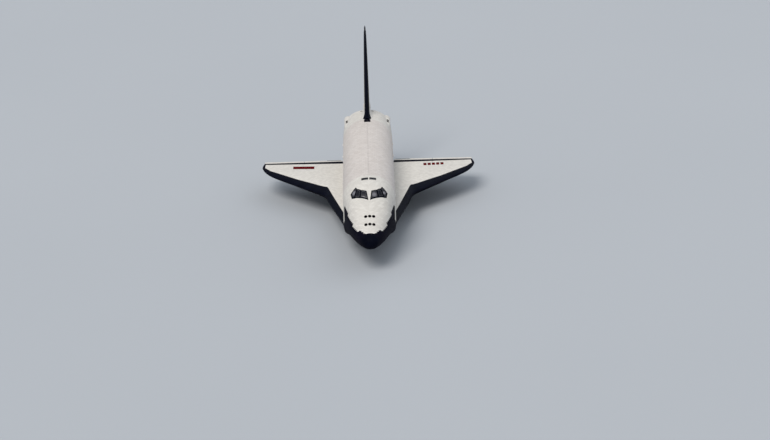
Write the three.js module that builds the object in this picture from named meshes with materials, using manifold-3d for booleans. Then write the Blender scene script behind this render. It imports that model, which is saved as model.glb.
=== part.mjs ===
// A delta-winged reusable space plane, parked on its landing gear.
// Millimetres, +Z up, nose towards -Y, port side towards +X, origin on the ground under the middle.
import * as THREE from 'three';
import { mergeVertices } from 'three/addons/utils/BufferGeometryUtils.js';
import Module from 'manifold-3d';

const wasm = await Module();
wasm.setup();

// Driving dimensions. A station is a distance aft of the nose tip, a level is a height above the belly.
const LENGTH = 36370;
const BELLY = 2000;
const FIN_TOP = 14350;
const TAIL = 30850;
const CAP_END = 850;
const BAY_START = 8000;
const BAY_END = 26500;
const FIT = 0.3;
const RING = 32;

// Outer sections of the fuselage.
// station, half width, top, bottom, widest level, upper exponent, lower exponent
const BODY = [
  [0, 0, 1550, 1550, 1550, 2, 2],
  [100, 410, 1960, 1150, 1550, 2, 2],
  [400, 780, 2280, 840, 1550, 2, 2.05],
  [850, 1050, 2470, 680, 1560, 2.02, 2.1],
  [1430, 1300, 2820, 540, 1600, 2.05, 2.2],
  [2060, 1530, 3200, 410, 1680, 2.1, 2.3],
  [2740, 1760, 3620, 290, 1800, 2.15, 2.45],
  [3500, 1990, 4080, 180, 1980, 2.25, 2.7],
  [3900, 2100, 4380, 130, 2090, 2.32, 2.8],
  [4300, 2200, 4820, 90, 2200, 2.4, 3],
  [5000, 2360, 5500, 40, 2420, 2.45, 3.4],
  [5600, 2480, 5900, 15, 2650, 2.42, 4],
  [6400, 2620, 6150, 0, 2950, 2.3, 6],
  [7700, 2780, 6250, -10, 3400, 2.15, 14],
  [26500, 2780, 6250, -10, 3400, 2.15, 14],
  [28000, 2770, 6200, 0, 3400, 2.2, 12],
  [30850, 2700, 5950, 100, 3300, 2.3, 10],
];
const EXTRA_STATIONS = [4650, 5300, 6000, 7050, 29400];

const CABIN = { wall: 150, start: 3200, end: 7600, low: 1000, floorLevel: 3450, floorDepth: 80 };
const BAY = { sill: 3590, doorEdge: 3620, halfWidth: 2420, floor: 1400, doorDepth: 120, hingeOut: 5 };
const NOSE_WELL = { halfWidth: 550, start: 8600, end: 10900, depth: 1100 };
const MAIN_WELL = { inner: 2950, outer: 4200, start: 20700, end: 23700, depth: 760 };

// Window panes on the port side, each as corners of port offset, station and level.
const PANES = [
  [[150, 4380, 4900], [930, 4620, 4980], [800, 5200, 5590], [290, 5060, 5550]],
  [[1000, 4640, 4985], [1500, 4860, 4900], [1190, 5480, 5630], [870, 5250, 5600]],
  [[1570, 4900, 4880], [1780, 5060, 4810], [1890, 5600, 5070], [1400, 5840, 5660], [1270, 5540, 5640]],
];
const ROOF_PANE = [[90, 6850, 6200], [750, 6850, 6130], [750, 7300, 6170], [90, 7300, 6240]];
const GLASS = { inset: 60, depth: 22, lap: 85 };

const HATCH = { station: 5450, level: 2750, radius: 490, gap: 30, hingeDrop: 515, hingeOut: 38 };

// Wing sections from the fuselage outwards.
// port offset, leading edge station, leading edge level, bottom, top
const WING = [
  [2050, 5750, 1000, 400, 1080],
  [2250, 6150, 950, 240, 1150],
  [2500, 6900, 900, 0, 1190],
  [3170, 9900, 830, 0, 1200],
  [4200, 14150, 730, 0, 1210],
  [4910, 17140, 710, 0, 1215],
  [6500, 18735, 800, 150, 1225],
  [8500, 20742, 880, 375, 1245],
  [10950, 23200, 1000, 690, 1250],
  [11500, 24050, 1040, 830, 1240],
  [11820, 24850, 1090, 920, 1215],
  [11960, 25500, 1130, 960, 1190],
];
// Inner border of the dark leading edge, seen from above: port offset, station.
const EDGE_BORDER = [[2000, 7350], [4570, 18750], [7950, 21420], [11000, 24200], [11500, 25000], [12400, 26300]];
const EDGE_FRONT = [[12400, 20000], [4500, 12000], [2000, 2000]];

// Hinge line of the elevons, with the half thickness and the flap chord at its ends.
const ELEVON = {
  root: [2900, 27220, 800],
  tip: [11700, 26730, 1080],
  radius: [260, 120],
  chord: [1950, 1300],
  droop: 8,
  split: 4365,
  bracket: 50,
};
const CLEAR = 12;
const LIP = 0.6;
const STUB = 8;

// Fin sections: level, half thickness, leading edge moved forward by, half thickness at the hinge line
const FIN = [
  [5500, 1250, 500, 700],
  [6050, 800, 350, 560],
  [6300, 520, 160, 420],
  [6700, 345, 0, 285],
  [9000, 285, 0, 230],
  [13700, 150, 0, 100],
  [14200, 125, 0, 88],
  [FIN_TOP, 85, -140, 80],
];
const FIN_EDGE = { station: 26300, level: 6110, slope: 0.9036 };
const RUDDER = {
  root: [0, 30550, 7000],
  tip: [0, 35350, FIN_TOP],
  radius: [260, 85],
  trailing: [[0, 32450, 7000], [0, LENGTH, FIN_TOP]],
  back: 140,
  panelGap: 10,
  barrel: 28,
  low: 7020,
  edge: 12,
};
const BODY_FLAP = { station: 30960, level: 460, halfWidth: 2380, radius: 210, chord: 1950, edge: 30 };

const WHEELS = {
  nose: { x: 0, station: 9800, radius: 450, width: 270, spread: 230, rim: 225, axle: 40, sides: 20 },
  main: { x: 3500, station: 22800, radius: 625, width: 400, spread: 330, rim: 330, axle: 50, sides: 20 },
};

const group = new THREE.Group();

// A point from its port offset, station and level.
function at(x, station, level) {
  return new THREE.Vector3(x, station - LENGTH / 2, level + BELLY);
}

function signedVolume(points, index) {
  let volume = 0;
  for (let i = 0; i < index.length; i += 3) {
    const [a, b, c] = [points[index[i]], points[index[i + 1]], points[index[i + 2]]];
    volume += a.dot(new THREE.Vector3().crossVectors(b, c));
  }
  return volume;
}

function meshGeometry(points, index) {
  if (signedVolume(points, index) < 0) index.reverse();
  const geometry = new THREE.BufferGeometry();
  geometry.setAttribute('position', new THREE.Float32BufferAttribute(points.flatMap((p) => p.toArray()), 3));
  geometry.setIndex(index);
  geometry.computeVertexNormals();
  return geometry;
}

// Triangles that close one flat ring, turning the same way as the ring.
function capTriangles(ring) {
  const normal = new THREE.Vector3();
  ring.forEach((p, k) => normal.add(new THREE.Vector3().crossVectors(p, ring[(k + 1) % ring.length])));
  const turn = new THREE.Quaternion().setFromUnitVectors(normal.normalize(), new THREE.Vector3(0, 0, 1));
  const flat = ring.map((p) => p.clone().sub(ring[0]).applyQuaternion(turn));
  const faces = THREE.ShapeUtils.triangulateShape(flat.map((p) => new THREE.Vector2(p.x, p.y)), []);
  return faces.map(([a, b, c]) => {
    const [p, q, r] = [flat[a], flat[b], flat[c]];
    const turnsLeft = (q.x - p.x) * (r.y - p.y) - (q.y - p.y) * (r.x - p.x) > 0;
    return turnsLeft ? [a, b, c] : [a, c, b];
  });
}

// A closed solid through rings of equal point counts; an end ring may be a single point.
// The quads picked by crossed are split along their other diagonal.
function loft(rings, crossed = () => false) {
  const starts = [];
  let count = 0;
  for (const ring of rings) {
    starts.push(count);
    count += ring.length;
  }
  const index = [];
  for (let i = 0; i + 1 < rings.length; i += 1) {
    const sides = Math.max(rings[i].length, rings[i + 1].length);
    const near = (k) => starts[i] + (k % rings[i].length);
    const far = (k) => starts[i + 1] + (k % rings[i + 1].length);
    for (let k = 0; k < sides; k += 1) {
      const [before, after] = crossed(k) ? [near(k + 1), far(k)] : [near(k), far(k + 1)];
      if (rings[i].length > 1) index.push(near(k), near(k + 1), after);
      if (rings[i + 1].length > 1) index.push(before, far(k + 1), far(k));
    }
  }
  const last = rings.length - 1;
  if (rings[0].length > 1) {
    for (const [a, b, c] of capTriangles(rings[0])) index.push(a, c, b);
  }
  if (rings[last].length > 1) {
    for (const face of capTriangles(rings[last])) index.push(...face.map((k) => starts[last] + k));
  }
  return meshGeometry(rings.flat(), index);
}

function solid(geometry) {
  const bare = geometry.clone();
  bare.deleteAttribute('normal');
  bare.deleteAttribute('uv');
  const merged = mergeVertices(bare, 1e-3);
  return new wasm.Manifold(new wasm.Mesh({
    numProp: 3,
    vertProperties: new Float32Array(merged.attributes.position.array),
    triVerts: new Uint32Array(merged.index.array),
  }));
}

function shapeOf(body) {
  const mesh = body.getMesh();
  const geometry = new THREE.BufferGeometry();
  geometry.setAttribute('position', new THREE.BufferAttribute(mesh.vertProperties, 3));
  geometry.setIndex(new THREE.BufferAttribute(mesh.triVerts, 1));
  geometry.computeVertexNormals();
  return geometry;
}

function joined(solids) {
  return solids.reduce((sum, piece) => sum.add(piece));
}

// The same shape on the other side of the middle plane.
function mirrored(geometry) {
  const flipped = geometry.clone();
  const position = flipped.attributes.position;
  for (let i = 0; i < position.count; i += 1) position.setX(i, -position.getX(i));
  flipped.setIndex([...flipped.index.array].reverse());
  flipped.computeVertexNormals();
  return flipped;
}

function block(x0, x1, station0, station1, level0, level1) {
  const box = new THREE.BoxGeometry(x1 - x0, station1 - station0, level1 - level0);
  const middle = at((x0 + x1) / 2, (station0 + station1) / 2, (level0 + level1) / 2);
  return solid(box.translate(middle.x, middle.y, middle.z));
}

// A round bar between two points.
function rod(from, to, radius, sides = 10) {
  const span = new THREE.Vector3().subVectors(to, from);
  const bar = new THREE.CylinderGeometry(radius, radius, span.length(), sides);
  bar.applyQuaternion(new THREE.Quaternion().setFromUnitVectors(new THREE.Vector3(0, 1, 0), span.normalize()));
  const middle = new THREE.Vector3().addVectors(from, to).multiplyScalar(0.5);
  return solid(bar.translate(middle.x, middle.y, middle.z));
}

function add(name, geometry, color, roughness, metalness = 0, parent = group) {
  const material = new THREE.MeshStandardMaterial({ color, roughness, metalness });
  const mesh = new THREE.Mesh(geometry, material);
  mesh.name = name;
  parent.add(mesh);
  return mesh;
}

function addPair(name, geometry, color, roughness, metalness = 0) {
  add(`${name}_left`, geometry, color, roughness, metalness);
  add(`${name}_right`, mirrored(geometry), color, roughness, metalness);
}

const WHITE = 0xe4ded2;
const BLACK = 0x1b1e26;
const GREY = 0x8d9096;
const STEEL = 0xa9adb2;
const RUBBER = 0x17181a;

// Fuselage sections

// One column of the section table at a station, by a monotone cubic over the station's square root.
function bodyValue(station, column) {
  const q = Math.sqrt(Math.max(station, 0));
  const knots = BODY.map((row) => Math.sqrt(row[0]));
  const slopes = knots.slice(1).map((k, i) => (BODY[i + 1][column] - BODY[i][column]) / (k - knots[i]));
  const tangent = (i) => {
    const [before, after] = [slopes[Math.max(i - 1, 0)], slopes[Math.min(i, slopes.length - 1)]];
    return before * after <= 0 ? 0 : (2 * before * after) / (before + after);
  };
  const i = Math.min(Math.max(knots.findIndex((k) => k > q) - 1, 0), slopes.length - 1);
  const cell = q >= knots[knots.length - 1] ? slopes.length - 1 : i;
  const width = knots[cell + 1] - knots[cell];
  const t = (q - knots[cell]) / width;
  const [from, to] = [BODY[cell][column], BODY[cell + 1][column]];
  return (2 * t ** 3 - 3 * t ** 2 + 1) * from + (t ** 3 - 2 * t ** 2 + t) * width * tangent(cell)
    + (3 * t ** 2 - 2 * t ** 3) * to + (t ** 3 - t ** 2) * width * tangent(cell + 1);
}

// One section of the fuselage, grown outwards; the belly is cut flat.
function bodyRing(station, grow = 0) {
  const [halfWidth, top, bottom, widest, upper, lower] = [1, 2, 3, 4, 5, 6].map((c) => bodyValue(station, c));
  return Array.from({ length: RING }, (_, k) => {
    const angle = (2 * Math.PI * k) / RING;
    const above = Math.sin(angle) >= 0;
    const exponent = 2 / (above ? upper : lower);
    const reach = above ? top + grow - widest : bottom - grow - widest;
    const x = Math.sign(Math.cos(angle)) * (halfWidth + grow) * Math.abs(Math.cos(angle)) ** exponent;
    const level = widest + reach * Math.abs(Math.sin(angle)) ** exponent;
    return at(x, station, Math.max(level, -grow));
  });
}

const STATIONS = [...BODY.map((row) => row[0]), ...EXTRA_STATIONS].sort((a, b) => a - b);
const INSIDE_STATIONS = [4300, 5000, 5600, 6400];

// Both sides of the fuselage are split into triangles alike.
const onStarboard = (k) => k >= RING / 4 && k < (3 * RING) / 4;

function bodyLoft(start, end, grow = 0, stations = STATIONS) {
  const between = stations.filter((s) => s > start && s < end);
  return solid(loft([start, ...between, end].map((s) => bodyRing(s, grow)), onStarboard));
}

// Outer half width of the fuselage side at a station and level.
function sideOffset(station, level) {
  const [halfWidth, top, bottom, widest, upper, lower] = [1, 2, 3, 4, 5, 6].map((c) => bodyValue(station, c));
  const [reach, exponent] = level > widest ? [top - widest, upper] : [widest - bottom, lower];
  return halfWidth * (1 - (Math.abs(level - widest) / reach) ** exponent) ** (1 / exponent);
}

// Hinges

// A frame along a hinge: t runs along the axis, c towards the flap's free edge, h across it.
function hingeFrame(from, to, outward, across) {
  const along = new THREE.Vector3().subVectors(to, from);
  const length = along.length();
  along.normalize();
  const free = outward.clone().addScaledVector(along, -outward.dot(along)).normalize();
  const thick = across.clone().addScaledVector(along, -across.dot(along));
  thick.addScaledVector(free, -thick.dot(free)).normalize();
  const place = (t, c, h) => from.clone().addScaledVector(along, t).addScaledVector(free, c).addScaledVector(thick, h);
  const locate = (point) => [along, free, thick].map((axis) => axis.dot(point.clone().sub(from)));
  return { length, place, locate };
}

function framePrism(frame, t0, t1, outline0, outline1 = outline0) {
  return solid(loft([outline0.map(([c, h]) => frame.place(t0, c, h)), outline1.map(([c, h]) => frame.place(t1, c, h))]));
}

function circle(radius, sides, c = 0, h = 0) {
  return Array.from({ length: sides }, (_, k) => {
    const angle = (2 * Math.PI * (k + 0.5)) / sides;
    return [c + radius * Math.cos(angle), h + radius * Math.sin(angle)];
  });
}

function rectangle(c0, c1, h0, h1) {
  return [[c0, h0], [c1, h0], [c1, h1], [c0, h1]];
}

function barrel(frame, t0, t1, radius, sides = 8) {
  return framePrism(frame, t0, t1, circle(radius, sides));
}

// A round nose about the hinge axis with a wedge behind it, turned down by an angle.
function flapOutline(radius, chord, edge, droop) {
  const steps = 8;
  const nose = Array.from({ length: steps + 1 }, (_, k) => {
    const angle = Math.PI / 2 + (Math.PI * k) / steps;
    return [radius * Math.cos(angle), radius * Math.sin(angle)];
  });
  const outline = [...nose, [chord, -edge], [chord, edge]];
  const turn = THREE.MathUtils.degToRad(-droop);
  return outline.map(([c, h]) => [
    c * Math.cos(turn) - h * Math.sin(turn),
    c * Math.sin(turn) + h * Math.cos(turn),
  ]);
}

const mix = (pair, share) => pair[0] + (pair[1] - pair[0]) * share;

// Distance from the hinge line to a trailing edge given by its two end points.
function chordTo(frame, ends, t) {
  const [[t0, c0], [t1, c1]] = ends.map((end) => frame.locate(at(...end)));
  return mix([c0, c1], (t - t0) / (t1 - t0));
}

// Fuselage

function paneRing(corners, lap, depth) {
  const points = corners.map(([x, station, level]) => at(x, station, level));
  const centre = points.reduce((sum, p) => sum.add(p), new THREE.Vector3()).divideScalar(points.length);
  const normal = new THREE.Vector3();
  points.forEach((p, k) => {
    const next = points[(k + 1) % points.length];
    normal.add(new THREE.Vector3().crossVectors(p.clone().sub(centre), next.clone().sub(centre)));
  });
  normal.normalize();
  if (normal.z < 0) normal.negate();
  return points.map((p) => {
    const away = p.clone().sub(centre);
    const sideways = away.clone().addScaledVector(normal, -away.dot(normal));
    return p.clone().addScaledVector(sideways.normalize(), lap).addScaledVector(normal, depth);
  });
}

function panePrism(corners, lap) {
  return solid(loft([paneRing(corners, lap, -420), paneRing(corners, lap, 300)]));
}

const flip = (corners) => corners.map(([x, station, level]) => [-x, station, level]);

// The hinge under the round hatch, along the curved side.
function hatchHinge() {
  const level = HATCH.level - HATCH.hingeDrop;
  const end = (station) => at(sideOffset(station, level) + HATCH.hingeOut, station, level);
  const [from, to] = [end(HATCH.station - 150), end(HATCH.station + 150)];
  return hingeFrame(from, to, new THREE.Vector3(1, 0, 0), new THREE.Vector3(0, 0, 1));
}

// A round plug through the side wall, square to the hinge so that it swings clear of its hole.
function hatchDisc(frame, radius) {
  const point = (c) => frame.place(frame.length / 2, c, HATCH.hingeDrop);
  return rod(point(-700), point(500), radius, 24);
}

function hatchLugs(frame) {
  const half = frame.length / 2;
  return [[half - 140, half - 60 - FIT], [half + 60 + FIT, half + 140]].flatMap(([t0, t1]) => [
    barrel(frame, t0, t1, 35),
    framePrism(frame, t0, t1, rectangle(-90, 0, -35, 0)),
  ]);
}

function forwardFuselage(cavity, hatchFrame) {
  let shell = bodyLoft(CAP_END + FIT, BAY_START - FIT).subtract(cavity);
  const panes = [...PANES, ROOF_PANE].flatMap((corners) => [corners, flip(corners)]);
  const inset = bodyLoft(CABIN.start, CABIN.end, -GLASS.inset, INSIDE_STATIONS);
  shell = shell.subtract(joined(panes.map((corners) => panePrism(corners, 0))));
  shell = shell.subtract(joined(panes.map((corners) => panePrism(corners, GLASS.lap + 8))).intersect(inset));
  shell = shell.subtract(hatchDisc(hatchFrame, HATCH.radius + HATCH.gap));
  return shell.add(joined(hatchLugs(hatchFrame)));
}

function crewHatch(cavity, frame) {
  const wall = bodyLoft(4500, 6500).subtract(cavity);
  const half = frame.length / 2;
  const strap = framePrism(frame, half - 60, half + 60, rectangle(-75, 25, 22, 180));
  return wall.intersect(hatchDisc(frame, HATCH.radius)).add(strap).add(barrel(frame, half - 60, half + 60, 35));
}

// Glass behind its frame, as one strip across all of the panes given.
function glass(panes) {
  const [outer, inner] = [GLASS.inset + 0.4, GLASS.inset + GLASS.depth];
  const [outside, inside] = [outer, inner].map((depth) => bodyLoft(CABIN.start, CABIN.end, -depth, INSIDE_STATIONS));
  return outside.subtract(inside).intersect(joined(panes.map((corners) => panePrism(corners, GLASS.lap))));
}

function cabinCavity(wall = CABIN.wall) {
  return bodyLoft(CABIN.start, CABIN.end, -wall, INSIDE_STATIONS)
    .intersect(block(-3000, 3000, CABIN.start, CABIN.end, CABIN.low, 7000));
}

// Trough of the payload bay, as port offset and level.
const TROUGH = [[BAY.halfWidth, 7000], [BAY.halfWidth, 2650], [2300, 2150], [2000, 1740], [1600, 1490], [1150, BAY.floor]];

function bayFrame() {
  const x = BODY[13][1] + BAY.hingeOut;
  return hingeFrame(at(x, BAY_START, BAY.sill + 10), at(x, BAY_END, BAY.sill + 10), new THREE.Vector3(1, 0, 0),
    new THREE.Vector3(0, 0, 1));
}

// Hinge knuckles of a bay door: where each starts, the door's length and the sill's length beside it.
const KNUCKLES = [700, 4900, 9150, 13400, 17350].map((start) => ({ start, door: 260, sill: 200, radius: 60 }));

function midFuselage(frame) {
  let body = bodyLoft(BAY_START + FIT, BAY_END - FIT);
  const outline = [...TROUGH, ...TROUGH.map(([x, level]) => [-x, level]).reverse()];
  const ring = (station) => outline.map(([x, level]) => at(x, station, level));
  body = body.subtract(solid(loft([ring(BAY_START - 50), ring(BAY_END + 50)])));
  body = body.subtract(block(-3000, 3000, BAY_START - 50, BAY_END + 50, BAY.sill, 7000));
  const well = NOSE_WELL;
  body = body.subtract(block(-well.halfWidth, well.halfWidth, well.start, well.end, -50, well.depth));
  const cuts = KNUCKLES.map((k) => barrel(frame, k.start - 6, k.start + k.door, k.radius + 6));
  const lugs = KNUCKLES.map((k) => barrel(frame, k.start + k.door + FIT, k.start + k.door + k.sill, k.radius));
  for (const side of [joined(cuts), solid(mirrored(shapeOf(joined(cuts))))]) body = body.subtract(side);
  for (const side of [joined(lugs), solid(mirrored(shapeOf(joined(lugs))))]) body = body.add(side);
  return body;
}

function bayDoor(frame) {
  const [start, end] = [BAY_START + 8, BAY_END - 8];
  const wall = bodyLoft(start, end).subtract(bodyLoft(start - 50, end + 50, -BAY.doorDepth));
  const panel = wall.intersect(block(6, 3000, start - 50, end + 50, BAY.doorEdge, 7000));
  const cuts = KNUCKLES.map((k) => barrel(frame, k.start + k.door, k.start + k.door + k.sill + 6, k.radius + 6));
  const lugs = KNUCKLES.map((k) => barrel(frame, k.start, k.start + k.door, k.radius));
  return panel.subtract(joined(cuts)).add(joined(lugs));
}

function radiator() {
  const [start, end] = [BAY_START + 400, BAY_END - 400];
  const [outer, inner] = [BAY.doorDepth + 0.4, BAY.doorDepth + 45];
  const layer = bodyLoft(start, end, -outer).subtract(bodyLoft(start - 50, end + 50, -inner));
  return layer.intersect(block(250, 3000, start - 50, end + 50, 4000, 7000));
}

function flapFrame() {
  const { station, level, halfWidth } = BODY_FLAP;
  return hingeFrame(at(-halfWidth, station, level), at(halfWidth, station, level), new THREE.Vector3(0, 1, 0),
    new THREE.Vector3(0, 0, 1));
}

function aftFuselage() {
  const frame = flapFrame();
  const { radius } = BODY_FLAP;
  const body = bodyLoft(BAY_END + FIT, TAIL)
    .subtract(barrel(frame, -STUB - 50, frame.length + STUB + 50, radius + CLEAR, 20));
  const ears = [[-STUB - 50, -STUB], [frame.length + STUB, frame.length + STUB + 50]];
  return body.add(joined(ears.map(([t0, t1]) => framePrism(frame, t0, t1, rectangle(-500, 70, -70, 70)))));
}

function bodyFlap() {
  const frame = flapFrame();
  const { radius, chord, edge } = BODY_FLAP;
  return framePrism(frame, 0, frame.length, flapOutline(radius, chord, edge, 0))
    .add(barrel(frame, -STUB + FIT, frame.length + STUB - FIT, 55));
}

// Wings

const hingeAt = (x) => {
  const share = (x - ELEVON.root[0]) / (ELEVON.tip[0] - ELEVON.root[0]);
  return { station: mix([ELEVON.root[1], ELEVON.tip[1]], share), level: mix([ELEVON.root[2], ELEVON.tip[2]], share),
    radius: mix(ELEVON.radius, share) };
};

// One section of the wing: round leading edge, flat bottom, crowned top, blunt rear at the hinge.
function wingRing([x, edgeStation, edgeLevel, bottom, top]) {
  const hinge = hingeAt(x);
  const rear = hinge.station - LIP * hinge.radius;
  const chord = rear - edgeStation;
  const crown = rear - Math.min(6500, 0.55 * chord);
  const rise = rear - Math.min(3400, 0.35 * chord);
  const round = Math.min(2400, 0.3 * chord);
  const ease = (share) => (1 - Math.cos(Math.PI * share)) / 2;
  const bulge = (share, power) => (1 - (1 - share) ** 2) ** power;
  const upper = [0.012, 0.05, 0.13, 0.3, 0.6, 1].map((u) => [
    edgeStation + u * (crown - edgeStation), edgeLevel + (top - edgeLevel) * bulge(u, 0.66)]);
  const upperRear = [0.35, 0.7, 1].map((u) => [
    mix([crown, rear], u), mix([top, hinge.level + hinge.radius], ease(u))]);
  const lowerRear = [1, 0.6, 0.25].map((u) => [
    mix([rise, rear], u), mix([bottom, hinge.level - hinge.radius], ease(u))]);
  const lower = [[rise, bottom], ...[1, 0.45, 0.15, 0.03].map((u) => [
    edgeStation + u * round, edgeLevel - (edgeLevel - bottom) * bulge(u, 0.55)])];
  const outline = [[edgeStation, edgeLevel], ...upper, ...upperRear, ...lowerRear, ...lower];
  return outline.map(([station, level]) => at(x, station, level));
}

function elevonFrame() {
  return hingeFrame(at(...ELEVON.root), at(...ELEVON.tip), new THREE.Vector3(0, 1, 0), new THREE.Vector3(0, 0, 1));
}

const radiusAt = (frame, t, pair) => mix(pair, t / frame.length);

// Where the hinge brackets stand along the elevon hinge line.
function elevonBrackets(frame) {
  const half = ELEVON.bracket / 2;
  return [0, ELEVON.split, frame.length + half].map((t) => [t - half, t + half]);
}

function elevonSpans(frame) {
  const [inner, middle, outer] = elevonBrackets(frame);
  return [[inner[1] + STUB, middle[0] - STUB], [middle[1] + STUB, outer[0] - STUB]];
}

function wholeWing() {
  const frame = elevonFrame();
  const ends = [-700, frame.length + 700];
  const [inside, outside] = ends.map((t) => circle(radiusAt(frame, t, ELEVON.radius) + CLEAR, 20));
  const cove = framePrism(frame, ...ends, inside, outside);
  const tongues = elevonBrackets(frame).map(([t0, t1]) => {
    const radius = radiusAt(frame, t0, ELEVON.radius);
    return framePrism(frame, t0, t1, rectangle(-1.5 * radius, 0.35 * radius, -0.45 * radius, 0.45 * radius));
  });
  const well = MAIN_WELL;
  return solid(loft(WING.map(wingRing)))
    .subtract(cove)
    .add(joined(tongues))
    .subtract(block(well.inner, well.outer, well.start, well.end, -50, well.depth))
    .subtract(bodyLoft(4600, TAIL, FIT));
}

function edgePrism(grow) {
  const border = EDGE_BORDER.map(([x, station]) => [x, station + grow]);
  const outline = [...border, ...EDGE_FRONT];
  return solid(loft([-500, 2500].map((level) => outline.map(([x, station]) => at(x, station, level)))));
}

function elevon([t0, t1]) {
  const frame = elevonFrame();
  const outline = (t) => flapOutline(radiusAt(frame, t, ELEVON.radius), radiusAt(frame, t, ELEVON.chord), 12, ELEVON.droop);
  return framePrism(frame, t0, t1, outline(t0), outline(t1))
    .add(barrel(frame, t0 - STUB + FIT, t1 + STUB - FIT, 40));
}

// Tail

const onLine = (from, to, level) => from[1] + ((level - from[2]) * (to[1] - from[1])) / (to[2] - from[2]);

function finRing([level, half, forward, rearHalf]) {
  const front = FIN_EDGE.station + (level - FIN_EDGE.level) * FIN_EDGE.slope - forward;
  const rear = onLine(RUDDER.root, RUDDER.tip, level) - LIP * rearHalf;
  const widest = 0.5;
  const side = [0.02, 0.1, 0.3, 0.65, 1].map((u) => [
    front + u * widest * (rear - front), half * (1 - (1 - u) ** 2) ** 0.6]);
  const outline = [...side, [rear, rearHalf], ...[[rear, -rearHalf], ...side.reverse().map(([s, x]) => [s, -x])]];
  return [[front, 0], ...outline].map(([station, x]) => at(x, station, level));
}

function rudderFrame() {
  return hingeFrame(at(...RUDDER.root), at(...RUDDER.tip), new THREE.Vector3(0, 1, 0), new THREE.Vector3(1, 0, 0));
}

function fin() {
  const frame = rudderFrame();
  const ends = [-900, frame.length + 300];
  const [low, high] = ends.map((t) => circle(radiusAt(frame, t, RUDDER.radius) + CLEAR, 20));
  const tongue = framePrism(frame, -330, -150, rectangle(-700, 90, -110, 110));
  return solid(loft(FIN.map(finRing)))
    .subtract(framePrism(frame, ...ends, low, high))
    .add(tongue)
    .subtract(bodyLoft(20000, TAIL, FIT));
}

const tailSlice = (low) => block(-2000, 2000, 28000, 40000, low, FIN_TOP);

function rudderSpine() {
  const frame = rudderFrame();
  const ends = [-500, frame.length + 600];
  const outline = (t) => flapOutline(radiusAt(frame, t, RUDDER.radius), RUDDER.back, radiusAt(frame, t, RUDDER.radius) - 2, 0);
  const groove = (RUDDER.barrel + FIT) / Math.cos(Math.PI / 24);
  const spine = framePrism(frame, ...ends, ...ends.map(outline));
  const grooves = [-1, 1].map((side) => framePrism(frame, ...ends, ...ends.map((t) => (
    circle(groove, 24, RUDDER.back + 5, side * (radiusAt(frame, t, RUDDER.radius) - RUDDER.barrel))))));
  return spine.subtract(joined(grooves))
    .intersect(tailSlice(RUDDER.low))
    .add(barrel(frame, -150 + FIT, 60, 60));
}

function brakePanel() {
  const frame = rudderFrame();
  const ends = [-1500, frame.length + 700];
  const half = (t) => radiusAt(frame, t, RUDDER.radius);
  const chord = (t) => chordTo(frame, RUDDER.trailing, t);
  const wedge = ends.map((t) => [[RUDDER.back + RUDDER.panelGap, 6], [chord(t), 6],
    [chord(t), 6 + RUDDER.edge], [RUDDER.back + 5, half(t)]]);
  const barrels = ends.map((t) => circle(RUDDER.barrel, 24, RUDDER.back + 5, half(t) - RUDDER.barrel));
  return framePrism(frame, ...ends, ...wedge)
    .add(framePrism(frame, ...ends, ...barrels))
    .intersect(tailSlice(RUDDER.low));
}

// A blister or fairing along the fuselage.
// rows: station, half width, half height; centre as port offset and level
function fairing(rows, x, level, sides = 14) {
  return solid(loft(rows.map(([station, wide, high]) => circle(1, sides).map(([c, h]) => (
    at(x + c * wide, station, level + h * high))))));
}

function chuteHousing() {
  return fairing([[30200, 260, 240], [30650, 420, 400], [31700, 420, 400], [32150, 280, 280]], 0, 6240)
    .subtract(bodyLoft(20000, TAIL, FIT));
}

function thrusterPod() {
  return fairing([[27700, 120, 120], [28050, 340, 330], [28800, 460, 440], [TAIL + 250, 480, 470]], 2150, 4700)
    .subtract(bodyLoft(20000, TAIL, FIT));
}

function propulsionBlock() {
  return fairing([[TAIL + FIT, 1560, 950], [TAIL + 180, 1500, 900]], 0, 4150, 16);
}

// An open bell on a closed throat; its axis runs aft.
function engineBell() {
  const outer = [[0, 0], [240, 0], [240, 220], [360, 480], [520, 860], [620, 1250]];
  const inner = [[590, 1250], [490, 860], [330, 480], [180, 260], [0, 260]];
  const profile = [...outer, ...inner].map(([r, y]) => new THREE.Vector2(r, y));
  return new THREE.LatheGeometry(profile, 20);
}

// Landing gear

const axleLevel = (wheel) => wheel.radius - BELLY;

// Twist that puts a flat side of a turned part on the ground.
const flatTurn = (sides) => Math.PI / sides;

function tyre(wheel) {
  const tread = wheel.radius / Math.cos(Math.PI / wheel.sides);
  const half = wheel.width / 2;
  const seat = wheel.rim + 0.4;
  const section = [[seat, -0.72 * half], [seat + 60, -half], [tread - 90, -half], [tread, -0.62 * half],
    [tread, 0.62 * half], [tread - 90, half], [seat + 60, half], [seat, 0.72 * half]];
  const profile = [...section, section[0]].map(([r, y]) => new THREE.Vector2(r, y));
  const turned = new THREE.LatheGeometry(profile, wheel.sides, flatTurn(wheel.sides));
  return shapeOf(solid(turned)).rotateZ(Math.PI / 2);
}

function hub(wheel) {
  const half = 0.36 * wheel.width;
  const { spread, rim, axle } = wheel;
  const side = [[axle, spread - half], [rim, spread - half], [rim, spread + half], [rim * 0.75, spread + half],
    [rim * 0.55, spread + half - 60], [axle * 1.6, spread + half - 60], [axle * 1.6, spread + half + 30],
    [0, spread + half + 30]];
  const profile = [...side.map(([r, y]) => [r, -y]).reverse(), ...side].map(([r, y]) => new THREE.Vector2(r, y));
  const turned = new THREE.LatheGeometry(profile, wheel.sides, flatTurn(wheel.sides));
  return shapeOf(solid(turned)).rotateZ(Math.PI / 2);
}

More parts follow.
